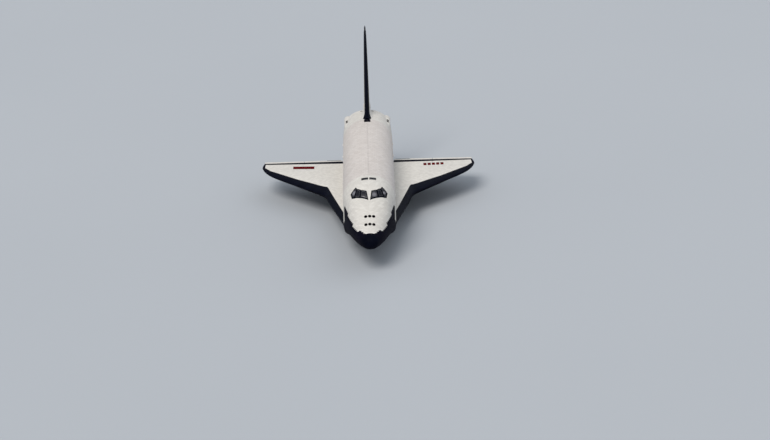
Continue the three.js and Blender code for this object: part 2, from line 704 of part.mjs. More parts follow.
function addWheels(name, wheel, x) {
  const set = new THREE.Group();
  set.position.copy(at(x, wheel.station, axleLevel(wheel)));
  group.add(set);
  add(`${name}_hub`, hub(wheel), STEEL, 0.4, 0.8, set);
  for (const [end, side] of [['inner', -1], ['outer', 1]]) {
    const outward = x < 0 ? -side : side;
    add(`${name}_tyre_${end}`, tyre(wheel), RUBBER, 0.9, 0, set).position.x = outward * wheel.spread;
  }
}

// The bored sleeve that carries an axle between its twin wheels.
function axleSleeve(wheel, x) {
  const level = axleLevel(wheel);
  const half = wheel.spread - 0.36 * wheel.width - 6;
  const bore = (wheel.axle + FIT) / Math.cos(Math.PI / wheel.sides);
  const middle = (dx) => at(x + dx, wheel.station, level);
  const sleeve = rod(middle(-half), middle(half), wheel.axle * 1.9, 16);
  return { sleeve, bore: boreRod(wheel, x, bore, half + 20) };
}

// A bore whose flat sides line up with those of the axle in it.
function boreRod(wheel, x, radius, half) {
  const bar = new THREE.CylinderGeometry(radius, radius, 2 * half, wheel.sides, 1, false, flatTurn(wheel.sides));
  const middle = at(x, wheel.station, axleLevel(wheel));
  return solid(bar.rotateZ(Math.PI / 2).translate(middle.x, middle.y, middle.z));
}

function noseLeg() {
  const { station } = WHEELS.nose;
  const top = NOSE_WELL.depth - FIT;
  return joined([
    rod(at(0, station, top), at(0, station, -700), 105, 14),
    rod(at(0, station, -350), at(0, NOSE_WELL.end - 120, 900), 45, 8),
    rod(at(-420, station, 860), at(420, station, 860), 70, 8),
  ]);
}

function noseStrut() {
  const wheel = WHEELS.nose;
  const { sleeve, bore } = axleSleeve(wheel, 0);
  return rod(at(0, wheel.station, -700 - FIT), at(0, wheel.station, axleLevel(wheel)), 78, 14).add(sleeve).subtract(bore);
}

function mainLeg() {
  const wheel = WHEELS.main;
  const { x, station } = wheel;
  const { sleeve, bore } = axleSleeve(wheel, x);
  return joined([
    rod(at(x, station, MAIN_WELL.depth - FIT), at(x, station, -620), 150, 14),
    rod(at(x, station, -600), at(x, station, axleLevel(wheel)), 105, 14),
    rod(at(x, station, -480), at(x, MAIN_WELL.start + 260, 620), 60, 8),
    rod(at(x - 440, station, 560), at(x + 440, station, 560), 80, 8),
    sleeve,
  ]).subtract(bore);
}

function gearDoor(x0, x1, start, end, drop) {
  return block(x0, x1, start, end, -drop, -FIT);
}

// Cabin fittings

function cabinFloor() {
  const { start, end, floorLevel, floorDepth } = CABIN;
  return bodyLoft(start, end, -CABIN.wall - 0.4, INSIDE_STATIONS)
    .intersect(block(-3000, 3000, start + 500, end - FIT, floorLevel, floorLevel + floorDepth));
}

function instrumentPanel() {
  const top = CABIN.floorLevel + CABIN.floorDepth + FIT;
  const side = [[3950, top], [4650, top], [4700, 4250], [4380, 4560], [3950, 4400]];
  const ring = (x) => side.map(([station, level]) => at(x, station, level));
  return solid(loft([ring(-1450), ring(1450)])).intersect(bodyLoft(CABIN.start, CABIN.end, -CABIN.wall - 20, INSIDE_STATIONS));
}

function seat(x) {
  const base = CABIN.floorLevel + CABIN.floorDepth + FIT;
  const side = [[5150, base], [5600, base], [5600, base + 330], [5800, base + 1250], [5680, base + 1280],
    [5500, base + 470], [5080, base + 480], [5080, base + 330], [5150, base + 330]];
  const ring = (dx) => side.map(([station, level]) => at(x + dx, station, level));
  return loft([ring(-240), ring(240)]);
}

// The assembly

const cavity = cabinCavity();
const hatchFrame = hatchHinge();
const doorFrame = bayFrame();
const wing = wholeWing();
const [innerElevon, outerElevon] = elevonSpans(elevonFrame());
const { nose, main } = WHEELS;

add('nose_cap', loft([[at(0, 0, BODY[0][2])], ...[100, 400, CAP_END].map((s) => bodyRing(s))]), BLACK, 0.6);
add('forward_fuselage', shapeOf(forwardFuselage(cavity, hatchFrame)), WHITE, 0.7);
add('mid_fuselage', shapeOf(midFuselage(doorFrame)), WHITE, 0.7);
add('aft_fuselage', shapeOf(aftFuselage()), WHITE, 0.7);
addPair('bay_door', shapeOf(bayDoor(doorFrame)), WHITE, 0.7);
addPair('radiator', shapeOf(radiator()), STEEL, 0.3, 0.7);
add('crew_hatch', shapeOf(crewHatch(cavity, hatchFrame)), WHITE, 0.7);
add('windscreen_left', shapeOf(glass(PANES)), BLACK, 0.1);
add('windscreen_right', shapeOf(glass(PANES.map(flip))), BLACK, 0.1);
addPair('roof_window', shapeOf(glass([ROOF_PANE])), BLACK, 0.1);
add('cabin_floor', shapeOf(cabinFloor()), GREY, 0.8);
add('instrument_panel', shapeOf(instrumentPanel()), BLACK, 0.6);
addPair('seat', seat(720), GREY, 0.8);
addPair('wing', shapeOf(wing.subtract(edgePrism(FIT))), WHITE, 0.7);
addPair('wing_edge', shapeOf(wing.intersect(edgePrism(0))), BLACK, 0.6);
addPair('elevon_inner', shapeOf(elevon(innerElevon)), WHITE, 0.7);
addPair('elevon_outer', shapeOf(elevon(outerElevon)), WHITE, 0.7);
add('body_flap', shapeOf(bodyFlap()), BLACK, 0.7);
add('fin', shapeOf(fin()), WHITE, 0.7);
add('rudder_spine', shapeOf(rudderSpine()), WHITE, 0.7);
addPair('brake_panel', shapeOf(brakePanel()), WHITE, 0.7);
add('chute_housing', shapeOf(chuteHousing()), WHITE, 0.7);
addPair('thruster_pod', shapeOf(thrusterPod()), WHITE, 0.7);
add('propulsion_block', shapeOf(propulsionBlock()), BLACK, 0.7);
for (const [side, x] of [['left', 950], ['right', -950]]) {
  add(`engine_${side}`, engineBell(), STEEL, 0.4, 0.8).position.copy(at(x, TAIL + 180 + FIT, 4150));
}
add('nose_leg', shapeOf(noseLeg()), STEEL, 0.4, 0.7);
add('nose_strut', shapeOf(noseStrut()), STEEL, 0.4, 0.7);
addWheels('nose', nose, 0);
addPair('main_leg', shapeOf(mainLeg()), STEEL, 0.4, 0.7);
addWheels('main_left', main, main.x);
addWheels('main_right', main, -main.x);
addPair('nose_gear_door', shapeOf(gearDoor(560, 600, NOSE_WELL.start + 20, NOSE_WELL.end - 20, 560)), BLACK, 0.7);
addPair('main_gear_door', shapeOf(gearDoor(4215, 4265, MAIN_WELL.start + 20, MAIN_WELL.end - 20, 1150)), BLACK, 0.7);

export default group;
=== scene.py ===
"""Looks for a parked delta-winged space plane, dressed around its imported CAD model.

Metres, +Z up, nose towards -Y, port side towards +X. A station is a distance aft of the nose tip,
a level is a height above the belly, and places are given as port offset, station and level.
"""
import math

import bmesh
import bpy
import numpy as np
from mathutils import Matrix, Vector


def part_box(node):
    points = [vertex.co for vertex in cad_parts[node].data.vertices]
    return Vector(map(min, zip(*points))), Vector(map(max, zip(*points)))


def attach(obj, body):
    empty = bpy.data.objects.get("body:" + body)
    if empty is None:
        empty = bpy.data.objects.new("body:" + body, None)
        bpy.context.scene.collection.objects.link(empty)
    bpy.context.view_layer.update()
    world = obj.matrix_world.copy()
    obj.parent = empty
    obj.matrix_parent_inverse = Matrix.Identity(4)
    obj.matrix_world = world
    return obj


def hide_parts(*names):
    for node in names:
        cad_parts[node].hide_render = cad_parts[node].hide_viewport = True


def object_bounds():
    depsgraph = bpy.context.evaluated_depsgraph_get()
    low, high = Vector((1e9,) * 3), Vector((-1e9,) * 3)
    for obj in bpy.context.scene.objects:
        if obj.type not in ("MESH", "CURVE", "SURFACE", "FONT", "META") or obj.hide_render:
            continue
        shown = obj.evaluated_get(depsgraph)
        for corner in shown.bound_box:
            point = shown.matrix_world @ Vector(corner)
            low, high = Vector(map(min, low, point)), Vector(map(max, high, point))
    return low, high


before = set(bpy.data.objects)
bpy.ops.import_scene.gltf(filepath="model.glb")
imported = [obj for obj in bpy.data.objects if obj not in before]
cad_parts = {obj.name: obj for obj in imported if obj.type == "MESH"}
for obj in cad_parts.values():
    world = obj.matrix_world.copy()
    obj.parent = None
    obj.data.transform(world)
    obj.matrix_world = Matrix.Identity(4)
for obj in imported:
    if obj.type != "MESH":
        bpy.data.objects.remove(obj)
CAD_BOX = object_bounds()

# Driving dimensions
LENGTH = CAD_BOX[1].y - CAD_BOX[0].y
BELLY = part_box("mid_fuselage")[0].z
FIN_TOP = CAD_BOX[1].z - BELLY
TAIL = 30.85
# The visible seam of the nose cap, a little ahead of the solid's own
CAP_END = 0.74
BAY_START = 8.0
BAY_END = 26.5
SEAM = 0.004

# Outer sections of the fuselage.
# station, half width, top, bottom, widest level, upper exponent, lower exponent
BODY = np.array([
    (0.00, 0.00, 1.55, 1.55, 1.55, 2.00, 2.00),
    (0.10, 0.41, 1.96, 1.15, 1.55, 2.00, 2.00),
    (0.40, 0.78, 2.28, 0.84, 1.55, 2.00, 2.05),
    (0.85, 1.05, 2.47, 0.68, 1.56, 2.02, 2.10),
    (1.43, 1.30, 2.82, 0.54, 1.60, 2.05, 2.20),
    (2.06, 1.53, 3.20, 0.41, 1.68, 2.10, 2.30),
    (2.74, 1.76, 3.62, 0.29, 1.80, 2.15, 2.45),
    (3.50, 1.99, 4.08, 0.18, 1.98, 2.25, 2.70),
    (3.90, 2.10, 4.38, 0.13, 2.09, 2.32, 2.80),
    (4.30, 2.20, 4.82, 0.09, 2.20, 2.40, 3.00),
    (5.00, 2.36, 5.50, 0.04, 2.42, 2.45, 3.40),
    (5.60, 2.48, 5.90, 0.015, 2.65, 2.42, 4.00),
    (6.40, 2.62, 6.15, 0.00, 2.95, 2.30, 6.00),
    (7.70, 2.78, 6.25, -0.01, 3.40, 2.15, 14.0),
    (26.50, 2.78, 6.25, -0.01, 3.40, 2.15, 14.0),
    (28.00, 2.77, 6.20, 0.00, 3.40, 2.20, 12.0),
    (30.85, 2.70, 5.95, 0.10, 3.30, 2.30, 10.0),
])
# Upper border of the dark underside: station, level
BLACK_BORDER = [
    (0.0, 2.3), (0.8, 2.38), (1.1, 2.48), (1.4, 2.55), (1.75, 2.42), (2.63, 2.41), (3.8, 2.82),
    (5.8, 3.4), (6.6, 3.42), (6.85, 1.55), (8.5, 0.85), (TAIL, 0.85),
]
CABIN = {"wall": 0.15, "start": 3.2, "end": 7.6, "low": 1.0, "floor": 3.53}
BAY = {
    "sill": 3.59, "door_edge": 3.62, "half_width": 2.42, "floor": 1.4, "door_depth": 0.12, "door_gap": 0.008,
    "hinge_out": 0.005,
}
# Payload bay trough: port offset, level
TROUGH = [
    (BAY["half_width"], BAY["sill"]), (BAY["half_width"], 2.65), (2.3, 2.15), (2.0, 1.74), (1.6, 1.49),
    (1.15, BAY["floor"]),
]
KNUCKLE_STARTS = (0.7, 4.9, 9.15, 13.4, 17.35)
KNUCKLE = {"door": 0.26, "sill": 0.2, "radius": 0.06}
NOSE_WELL = {"half_width": 0.55, "start": 8.6, "end": 10.9, "depth": 1.1}
MAIN_WELL = {"inner": 2.95, "outer": 4.2, "start": 20.7, "end": 23.7, "depth": 0.76}
HATCH = {
    "station": 5.45, "level": 2.75, "radius": 0.49, "gap": 0.03, "hinge_drop": 0.515, "hinge_out": 0.038,
}

# Window panes on the port side, as corners of port offset and station.
PANES = [
    [(0.15, 4.38), (0.93, 4.62), (0.80, 5.20), (0.29, 5.06)],
    [(1.00, 4.64), (1.50, 4.86), (1.19, 5.48), (0.87, 5.25)],
    [(1.57, 4.90), (1.78, 5.06), (1.89, 5.60), (1.40, 5.84), (1.27, 5.54)],
]
ROOF_PANE = [(0.09, 6.85), (0.75, 6.85), (0.75, 7.30), (0.09, 7.30)]

# Wing sections: port offset, leading edge station, leading edge level, bottom, top
WING = np.array([
    (2.05, 5.75, 1.00, 0.40, 1.080),
    (2.25, 6.15, 0.95, 0.24, 1.150),
    (2.50, 6.90, 0.90, 0.00, 1.190),
    (3.17, 9.90, 0.83, 0.00, 1.200),
    (4.20, 14.15, 0.73, 0.00, 1.210),
    (4.91, 17.14, 0.71, 0.00, 1.215),
    (6.50, 18.735, 0.80, 0.15, 1.225),
    (8.50, 20.742, 0.88, 0.375, 1.245),
    (10.95, 23.20, 1.00, 0.69, 1.250),
    (11.50, 24.05, 1.04, 0.83, 1.240),
    (11.82, 24.85, 1.090, 0.92, 1.215),
    (11.96, 25.50, 1.130, 0.96, 1.190),
])
# Inner border of the dark leading edge: port offset, station
EDGE_BORDER = np.array([
    (2.0, 7.35), (4.57, 18.75), (7.95, 21.42), (11.0, 24.2), (11.5, 25.0), (12.4, 26.3),
])
ELEVON = {
    "root": (2.9, 27.22, 0.8), "tip": (11.7, 26.73, 1.08), "radius": (0.26, 0.12), "chord": (1.95, 1.3),
    "droop": 8.0, "split": 4.365, "bracket": 0.05, "edge": 0.012,
}
CLEAR = 0.012
LIP = 0.6
STUB = 0.008

# Fin sections: level, half thickness, leading edge moved forward by, half thickness at the hinge line
FIN = np.array([
    (5.50, 1.250, 0.50, 0.70),
    (6.05, 0.800, 0.35, 0.56),
    (6.30, 0.520, 0.16, 0.42),
    (6.70, 0.345, 0.00, 0.285),
    (9.00, 0.285, 0.00, 0.230),
    (13.7, 0.150, 0.00, 0.100),
    (14.2, 0.125, 0.00, 0.088),
    (FIN_TOP, 0.085, -0.14, 0.080),
])
FIN_EDGE = {"station": 26.3, "level": 6.11, "slope": 0.9036}
RUDDER = {
    "root": (0.0, 30.55, 7.0), "tip": (0.0, 35.35, FIN_TOP), "radius": (0.26, 0.085),
    "trailing": ((0.0, 32.45, 7.0), (0.0, LENGTH, FIN_TOP)), "back": 0.14, "gap": 0.01, "barrel": 0.028,
    "low": 7.02, "edge": 0.012, "brake_gap": 0.005,
}
FLAP = {"station": 30.96, "level": 0.46, "half_width": 2.38, "radius": 0.21, "chord": 1.95, "edge": 0.03}
WHEELS = {
    "nose": {"x": 0.0, "station": 9.8, "radius": 0.45, "width": 0.27, "spread": 0.23, "rim": 0.225,
             "axle": 0.04},
    "main": {"x": 3.5, "station": 22.8, "radius": 0.625, "width": 0.40, "spread": 0.33, "rim": 0.33,
             "axle": 0.05},
}
PORT, STARBOARD = 1, -1
SIDES = ((PORT, "left"), (STARBOARD, "right"))
SIDEWAYS, AFT, UPWARD = (1, 0, 0), (0, 1, 0), (0, 0, 1)


def at(x, station, level):
    """A point, or an array of points, in the row frame."""
    x, station, level = np.broadcast_arrays(*(np.asarray(v, float) for v in (x, station, level)))
    return np.stack((x, station - LENGTH / 2, level + BELLY), axis=-1)


def mix(pair, share):
    return pair[0] + (pair[1] - pair[0]) * share


# Curves and sections

def monotone(knots, values, x):
    """A monotone cubic through the rows of a table, at each x."""
    knots, values = np.asarray(knots, float), np.asarray(values, float)
    steps = np.diff(knots)
    slopes = np.diff(values, axis=0) / steps[:, None]
    before, after = np.vstack((slopes[:1], slopes)), np.vstack((slopes, slopes[-1:]))
    total = np.where(before + after == 0, 1, before + after)
    tangents = np.where(before * after > 0, 2 * before * after / total, 0)
    cell = np.clip(np.searchsorted(knots, x, side="right") - 1, 0, len(steps) - 1)
    t = ((x - knots[cell]) / steps[cell])[:, None]
    width = steps[cell][:, None]
    return ((2 * t**3 - 3 * t**2 + 1) * values[cell] + (t**3 - 2 * t**2 + t) * width * tangents[cell]
            + (3 * t**2 - 2 * t**3) * values[cell + 1] + (t**3 - t**2) * width * tangents[cell + 1])


def body_rows(stations):
    """Half width, top, bottom, widest level and the two exponents at each station."""
    stations = np.atleast_1d(np.asarray(stations, float))
    return monotone(np.sqrt(BODY[:, 0]), BODY[:, 1:], np.sqrt(np.maximum(stations, 0)))


def half_section(station, grow=0.0):
    """The port half of a fuselage section, from the bottom centre to the top, as offset and level."""
    half_width, top, bottom, widest, upper, lower = body_rows(station)[0]
    angle = np.radians(np.linspace(-90, 90, 721))
    above = angle >= 0
    exponent = 2 / np.where(above, upper, lower)
    reach = np.where(above, top + grow - widest, bottom - grow - widest)
    cosine = np.abs(np.cos(angle))
    cosine[[0, -1]] = 0
    x = (half_width + grow) * cosine**exponent
    level = widest + reach * np.abs(np.sin(angle))**exponent
    return np.column_stack((x, np.maximum(level, -grow)))


def lengths(line):
    """Distance along a line of points, at each point."""
    return np.concatenate(([0], np.cumsum(np.linalg.norm(np.diff(line, axis=0), axis=1))))


def walk(line, count, start=0.0, end=None):
    """Evenly spaced points along a line, between two distances from its start."""
    along = lengths(line)
    places = np.linspace(start, along[-1] if end is None else end, count)
    return np.column_stack([np.interp(places, along, column) for column in line.T])


def cut(line, column, low, high):
    """The stretch of a line where one rising coordinate lies between two values."""
    along = lengths(line)
    start, end = np.interp((low, high), line[:, column], along)
    inside = (along > start) & (along < end)
    places = np.concatenate(([start], along[inside], [end]))
    return np.column_stack([np.interp(places, along, c) for c in line.T])


def body_level(x, station):
    """Level of the upper fuselage skin at a port offset and station."""
    half_width, top, _, widest, upper, _ = body_rows(station).T
    share = np.clip(np.abs(x) / half_width, 0, 1)
    return widest + (top - widest) * (1 - share**upper)**(1 / upper)


def body_offset(station, level):
    """Half width of the fuselage at one station and level."""
    half_width, top, bottom, widest, upper, lower = body_rows(station)[0]
    reach, exponent = (top - widest, upper) if level > widest else (widest - bottom, lower)
    return half_width * (1 - (abs(level - widest) / reach)**exponent)**(1 / exponent)


def body_share(points):
    """For points in the row frame: 1 on the fuselage skin, less inside it."""
    half_width, top, bottom, widest, upper, lower = body_rows(points[:, 1] + LENGTH / 2).T
    level = points[:, 2] - BELLY
    above = level > widest
    reach, exponent = np.where(above, top - widest, widest - bottom), np.where(above, upper, lower)
    return (np.abs(points[:, 0]) / half_width)**exponent + (np.abs(level - widest) / reach)**exponent


# Shapes: each is a tuple of points, faces, a map place for each face corner, and a slot for each face

def shape(points, faces, places=None, slots=0):
    if places is None:
        places = [np.zeros((len(face), 2)) for face in faces]
    if isinstance(slots, int):
        slots = [slots] * len(faces)
    return np.asarray(points, float), faces, places, slots


def loft(rings, places=None, slots=0, caps=(0, 0), around=False):
    """Quads between closed rings. slots is one number or one for each side; caps are end slots or None."""
    rings = np.asarray(rings, float)
    count, sides = rings.shape[:2]
    side_slots = [slots] * sides if isinstance(slots, int) else list(slots)
    faces, corners, face_slots = [], [], []
    last = count if around else count - 1
    for i in range(last):
        j = (i + 1) % count
        for k in range(sides):
            m = (k + 1) % sides
            faces.append((i * sides + k, i * sides + m, j * sides + m, j * sides + k))
            face_slots.append(side_slots[k])
            if places is None:
                corners.append(np.zeros((4, 2)))
            else:
                corners.append(np.array((places[i][k], places[i][k + 1], places[j][k + 1], places[j][k])))
    if not around:
        for cap, first, order in ((caps[0], 0, -1), (caps[1], (count - 1) * sides, 1)):
            if cap is None:
                continue
            faces.append(tuple(range(first, first + sides))[::order])
            corners.append(np.zeros((sides, 2)))
            face_slots.append(cap)
    return shape(rings.reshape(-1, 3), faces, corners, face_slots)


def mirror(one):
    """The same shape on the other side of the middle plane."""
    points, faces, places, slots = one
    flipped = [place[::-1] * (-1, 1) for place in places]
    return shape(points * (-1, 1, 1), [face[::-1] for face in faces], flipped, slots)


def sided(one, side):
    return one if side == PORT else mirror(one)


def slab(low, high, slot=0):
    """A block between two corners given as port offset, station and level."""
    (x0, s0, z0), (x1, s1, z1) = low, high
    ring = [(x0, s0), (x1, s0), (x1, s1), (x0, s1)]
    return loft([[at(x, s, z) for x, s in ring] for z in (z0, z1)], slots=slot, caps=(slot, slot))


def across(axis):
    """Two unit vectors square to an axis and to each other."""
    axis = axis / np.linalg.norm(axis)
    side = np.cross(axis, (0, 0, 1) if abs(axis[2]) < 0.9 else (1, 0, 0))
    side /= np.linalg.norm(side)
    return side, np.cross(axis, side)


def turned(profile, centre, axis, steps=24, slots=0, closed=False, phase=0.0):
    """A shape turned about an axis from pairs of radius and distance along it; slots may name each band."""
    axis = np.asarray(axis, float) / np.linalg.norm(axis)
    side, other = across(axis)
    angles = phase + 2 * math.pi * np.arange(steps) / steps
    circle = np.cos(angles)[:, None] * side + np.sin(angles)[:, None] * other
    rings = [np.asarray(centre) + radius * circle + along * axis for radius, along in profile]
    bands = [slots] * len(profile) if isinstance(slots, int) else list(slots)
    made = loft(rings, caps=(None if closed else bands[0], None if closed else bands[-1]), around=closed)
    face_slots = [bands[i] for i in range(len(profile) - (0 if closed else 1)) for _ in range(steps)]
    return shape(made[0], made[1], made[2], face_slots + ([] if closed else [bands[0], bands[-1]]))


def band(inner, outer, low, high):
    """The corners of a flat ring or disc, as pairs of radius and distance along its axis."""
    return [(inner, low), (outer, low), (outer, high), (inner, high)]


def rod(start, end, radius, steps=16, slot=0, rounding=0.15):
    """A round bar with eased ends between two points."""
    start, end = np.asarray(start, float), np.asarray(end, float)
    length, ease = np.linalg.norm(end - start), radius * rounding
    profile = [(radius - ease, 0), (radius, ease), (radius, length - ease), (radius - ease, length)]
    return turned(profile, start, end - start, steps, slot)


def tube(line, radius, sides=10, slot=0):
    """A round tube along a line of points."""
    line = np.asarray(line, float)
    rings = []
    side, _ = across(line[1] - line[0])
    for i, point in enumerate(line):
        ahead = line[min(i + 1, len(line) - 1)] - line[max(i - 1, 0)]
        ahead = ahead / np.linalg.norm(ahead)
        side = side - ahead * side.dot(ahead)
        side /= np.linalg.norm(side)
        other = np.cross(ahead, side)
        angles = 2 * math.pi * np.arange(sides) / sides
        rings.append(point + radius * (np.cos(angles)[:, None] * side + np.sin(angles)[:, None] * other))
    return loft(rings, slots=slot, caps=(slot, slot))


class Build:
    """Collects shapes that end up as one piece."""

    def __init__(self):
        self.points, self.faces, self.places, self.slots = [], [], [], []

    def add(self, one, slot=None):
        points, faces, places, slots = one
        start = len(self.points)
        self.points.extend(points.tolist())
        self.faces.extend(tuple(start + k for k in face) for face in faces)
        self.places.extend(places)
        self.slots.extend(slots if slot is None else [slot] * len(faces))
        return self

    def pair(self, one, slot=None):
        return self.add(one, slot).add(mirror(one), slot)

    def shape(self):
        return np.array(self.points), self.faces, self.places, self.slots

    def make(self, name, materials, sharp=35.0):
        mesh = bpy.data.meshes.new(name)
        mesh.from_pydata(self.points, [], self.faces)
        for material in materials:
            mesh.materials.append(material)
        mesh.polygons.foreach_set("material_index", self.slots)
        layer = mesh.uv_layers.new(name="tiles")
        layer.data.foreach_set("uv", np.concatenate(self.places).ravel())
        obj = bpy.data.objects.new(name, mesh)
        bpy.context.scene.collection.objects.link(obj)
        clean(obj)
        smooth(obj, sharp)
        return obj


def clean(obj):
    """Welds doubled points and turns all faces outwards."""
    work = bmesh.new()
    work.from_mesh(obj.data)
    bmesh.ops.remove_doubles(work, verts=work.verts, dist=1e-5)
    bmesh.ops.dissolve_degenerate(work, edges=work.edges, dist=1e-5)
    bmesh.ops.recalc_face_normals(work, faces=work.faces)
    work.to_mesh(obj.data)
    work.free()


def smooth(obj, sharp=35.0):
    obj.data.polygons.foreach_set("use_smooth", [True] * len(obj.data.polygons))
    obj.data.set_sharp_from_angle(angle=math.radians(sharp))


def carve(obj, cutter, operation="DIFFERENCE", sharp=35.0):
    """Cuts a piece with another, which goes."""
    modifier = obj.modifiers.new("carve", "BOOLEAN")
    modifier.object, modifier.operation, modifier.solver = cutter, operation, "EXACT"
    graph = bpy.context.evaluated_depsgraph_get()
    made = bpy.data.meshes.new_from_object(obj.evaluated_get(graph), depsgraph=graph)
    obj.modifiers.clear()
    obj.data = made
    bpy.data.objects.remove(cutter)
    smooth(obj, sharp)
    return obj


def copied(obj, name, x=0.0):
    """A second piece of the same form, moved sideways."""
    piece = obj.copy()
    piece.name, piece.data = name, obj.data.copy()
    piece.data.transform(Matrix.Translation((x, 0, 0)))
    bpy.context.scene.collection.objects.link(piece)
    return piece


def repaint(obj, rule):
    """Gives faces new slots: rule gets the face middles, the normals and the slots they have."""
    polygons = obj.data.polygons
    middles, normals = np.zeros(len(polygons) * 3), np.zeros(len(polygons) * 3)
    slots = np.zeros(len(polygons), int)
    polygons.foreach_get("center", middles)
    polygons.foreach_get("normal", normals)
    polygons.foreach_get("material_index", slots)
    slots = rule(middles.reshape(-1, 3), normals.reshape(-1, 3), slots)
    polygons.foreach_set("material_index", slots.tolist())


def ease_edges(obj, width, angle=40.0, segments=2):
    """A bevel along the hard edges of a piece."""
    modifier = obj.modifiers.new("ease", "BEVEL")
    modifier.width, modifier.segments = width, segments
    modifier.limit_method, modifier.angle_limit = "ANGLE", math.radians(angle)
    modifier.harden_normals = True
    return obj


def dress(obj, body, slot, *nodes):
    """Hangs a piece on the body it rides on and hides the nodes it stands for. The slot argument is not
    used.
    """
    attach(obj, body)
    if nodes:
        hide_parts(*nodes)
    return obj


def make_sides(one, name, materials, body, slot, node=None, ease=0.0, sharp=35.0):
    """A left and a right piece from one port shape; {} in a name stands for the side."""
    for side, word in SIDES:
        piece = Build().add(sided(one, side)).make(name.format(word), materials, sharp)
        if ease:
            ease_edges(piece, ease)
        dress(piece, body.format(word), slot, *([node.format(word)] if node else []))


# Materials

class Recipe:
    """A node material built up call by call."""

    def __init__(self, name, color, roughness=0.6, metallic=0.0, **uniform):
        self.material = bpy.data.materials.new(name)
        self.material.use_nodes = True
        self.tree = self.material.node_tree
        self.shader = self.tree.nodes["Principled BSDF"]
        self.shader.inputs["Base Color"].default_value = (*color, 1.0)
        self.shader.inputs["Roughness"].default_value = roughness
        self.shader.inputs["Metallic"].default_value = metallic
        for key, value in uniform.items():
            self.shader.inputs[key.replace("_", " ")].default_value = value

    def node(self, kind, *inputs, **settings):
        node = self.tree.nodes.new("ShaderNode" + kind)
        for key, value in settings.items():
            setattr(node, key, value)
        for socket, value in zip(node.inputs, inputs):
            self.feed(socket, value)
        return node

    def feed(self, socket, value):
        if isinstance(value, bpy.types.NodeSocket):
            self.tree.links.new(value, socket)
        elif value is not None:
            socket.default_value = value

    def math(self, operation, *inputs):
        return self.node("Math", *inputs, operation=operation).outputs[0]

    def span(self, value, low, high, to_low=0.0, to_high=1.0):
        """Maps a value from one range to another, held at the ends."""
        return self.node("MapRange", value, low, high, to_low, to_high).outputs[0]

    def blend(self, share, low, high):
        """A colour between two, each a socket or three numbers."""
        node = self.node("Mix", data_type="RGBA")
        self.feed(node.inputs[0], share)
        for socket, value in ((node.inputs[6], low), (node.inputs[7], high)):
            self.feed(socket, value if isinstance(value, bpy.types.NodeSocket) else (*value, 1.0))
        return node.outputs[2]

    def place(self):
        """Object coordinates, which move with the piece."""
        return self.node("TexCoord").outputs["Object"]

    def map_place(self):
        """The piece's own map in metres."""
        return self.node("UVMap", uv_map="tiles").outputs[0]

    def noise(self, scale, detail=3.0, vector=None, stretch=None):
        vector = vector or self.place()
        if stretch is not None:
            vector = self.node("VectorMath", vector, stretch, operation="MULTIPLY").outputs[0]
        node = self.node("TexNoise")
        self.feed(node.inputs["Vector"], vector)
        node.inputs["Scale"].default_value = scale
        node.inputs["Detail"].default_value = detail
        return node.outputs[0]

    def random(self, *cell):
        """A random number for each cell of a grid."""
        place = self.node("CombineXYZ", *cell).outputs[0]
        return self.node("TexWhiteNoise", place).outputs["Value"]

    def bump(self, height, distance, strength=1.0):
        node = self.node("Bump")
        self.feed(node.inputs["Height"], height)
        node.inputs["Distance"].default_value = distance
        node.inputs["Strength"].default_value = strength
        self.feed(self.shader.inputs["Normal"], node.outputs[0])

    def color(self, value):
        self.feed(self.shader.inputs["Base Color"], value)

    def roughness(self, value):
        self.feed(self.shader.inputs["Roughness"], value)

    def tiles(self, size, gap=0.04):
        """Staggered tiles over the piece's map: groove share, a random number a tile, and its middle."""
        parts = self.node("SeparateXYZ", self.map_place())
        u = self.math("DIVIDE", parts.outputs[0], size)
        v = self.math("DIVIDE", parts.outputs[1], size)
        row = self.math("FLOOR", v)
        shift = self.math("MULTIPLY", self.math("FLOORED_MODULO", row, 2.0), 0.5)
        shifted = self.math("ADD", u, shift)
        column = self.math("FLOOR", shifted)
        edge = self.math("MINIMUM", self.math("PINGPONG", shifted, 0.5), self.math("PINGPONG", v, 0.5))
        groove = self.span(edge, 0.0, gap, 1.0, 0.0)
        random = self.random(column, row, 0.5)
        middle_u = self.math("MULTIPLY", self.math("SUBTRACT", self.math("ADD", column, 0.5), shift), size)
        middle_v = self.math("MULTIPLY", self.math("ADD", row, 0.5), size)
        return groove, random, middle_u, middle_v


WHITE = ((0.61, 0.58, 0.535), (0.69, 0.66, 0.61))
FELT_WHITE = ((0.595, 0.54, 0.50), (0.66, 0.605, 0.565))
BLACK = ((0.0015, 0.0020, 0.0055), (0.0030, 0.0040, 0.0100))
TILE_BLACK = ((0.0032, 0.0032, 0.0080), (0.0058, 0.0052, 0.0130))
DULL = 0.02
TILE = 0.28


def tile_finish(recipe, tiles, colors, seam_share):
    """Colour of tiles that differ a little from each other, with darker seams and soft stains."""
    groove, random = tiles[:2]
    color = recipe.blend(random, *colors)
    stain = recipe.span(recipe.noise(0.5, 4.0, stretch=(1.0, 0.25, 1.0)), 0.35, 0.75, 0.0, 0.16)
    color = recipe.blend(stain, color, [0.78 * c for c in colors[0]])
    return recipe.blend(recipe.math("MULTIPLY", groove, seam_share), color, [0.3 * c for c in colors[0]])


def curve_of(recipe, value, pairs):
    """A broken line through pairs of 0 to 1, as a node."""
    node = recipe.node("FloatCurve")
    recipe.feed(node.inputs["Value"], value)
    points = node.mapping.curves[0].points
    for point, pair in zip(points, (pairs[0], pairs[-1])):
        point.location = pair
    for pair in pairs[1:-1]:
        points.new(*pair)
    for point in points:
        point.handle_type = "VECTOR"
    node.mapping.update()
    return node.outputs[0]


def border_arc(station, level):
    """Distance along the skin from the bottom centre to a level."""
    section = half_section(station)
    return float(np.interp(level, section[:, 1], lengths(section))) if level < section[-1, 1] else ARC_RANGE


ARC_RANGE = 10.0


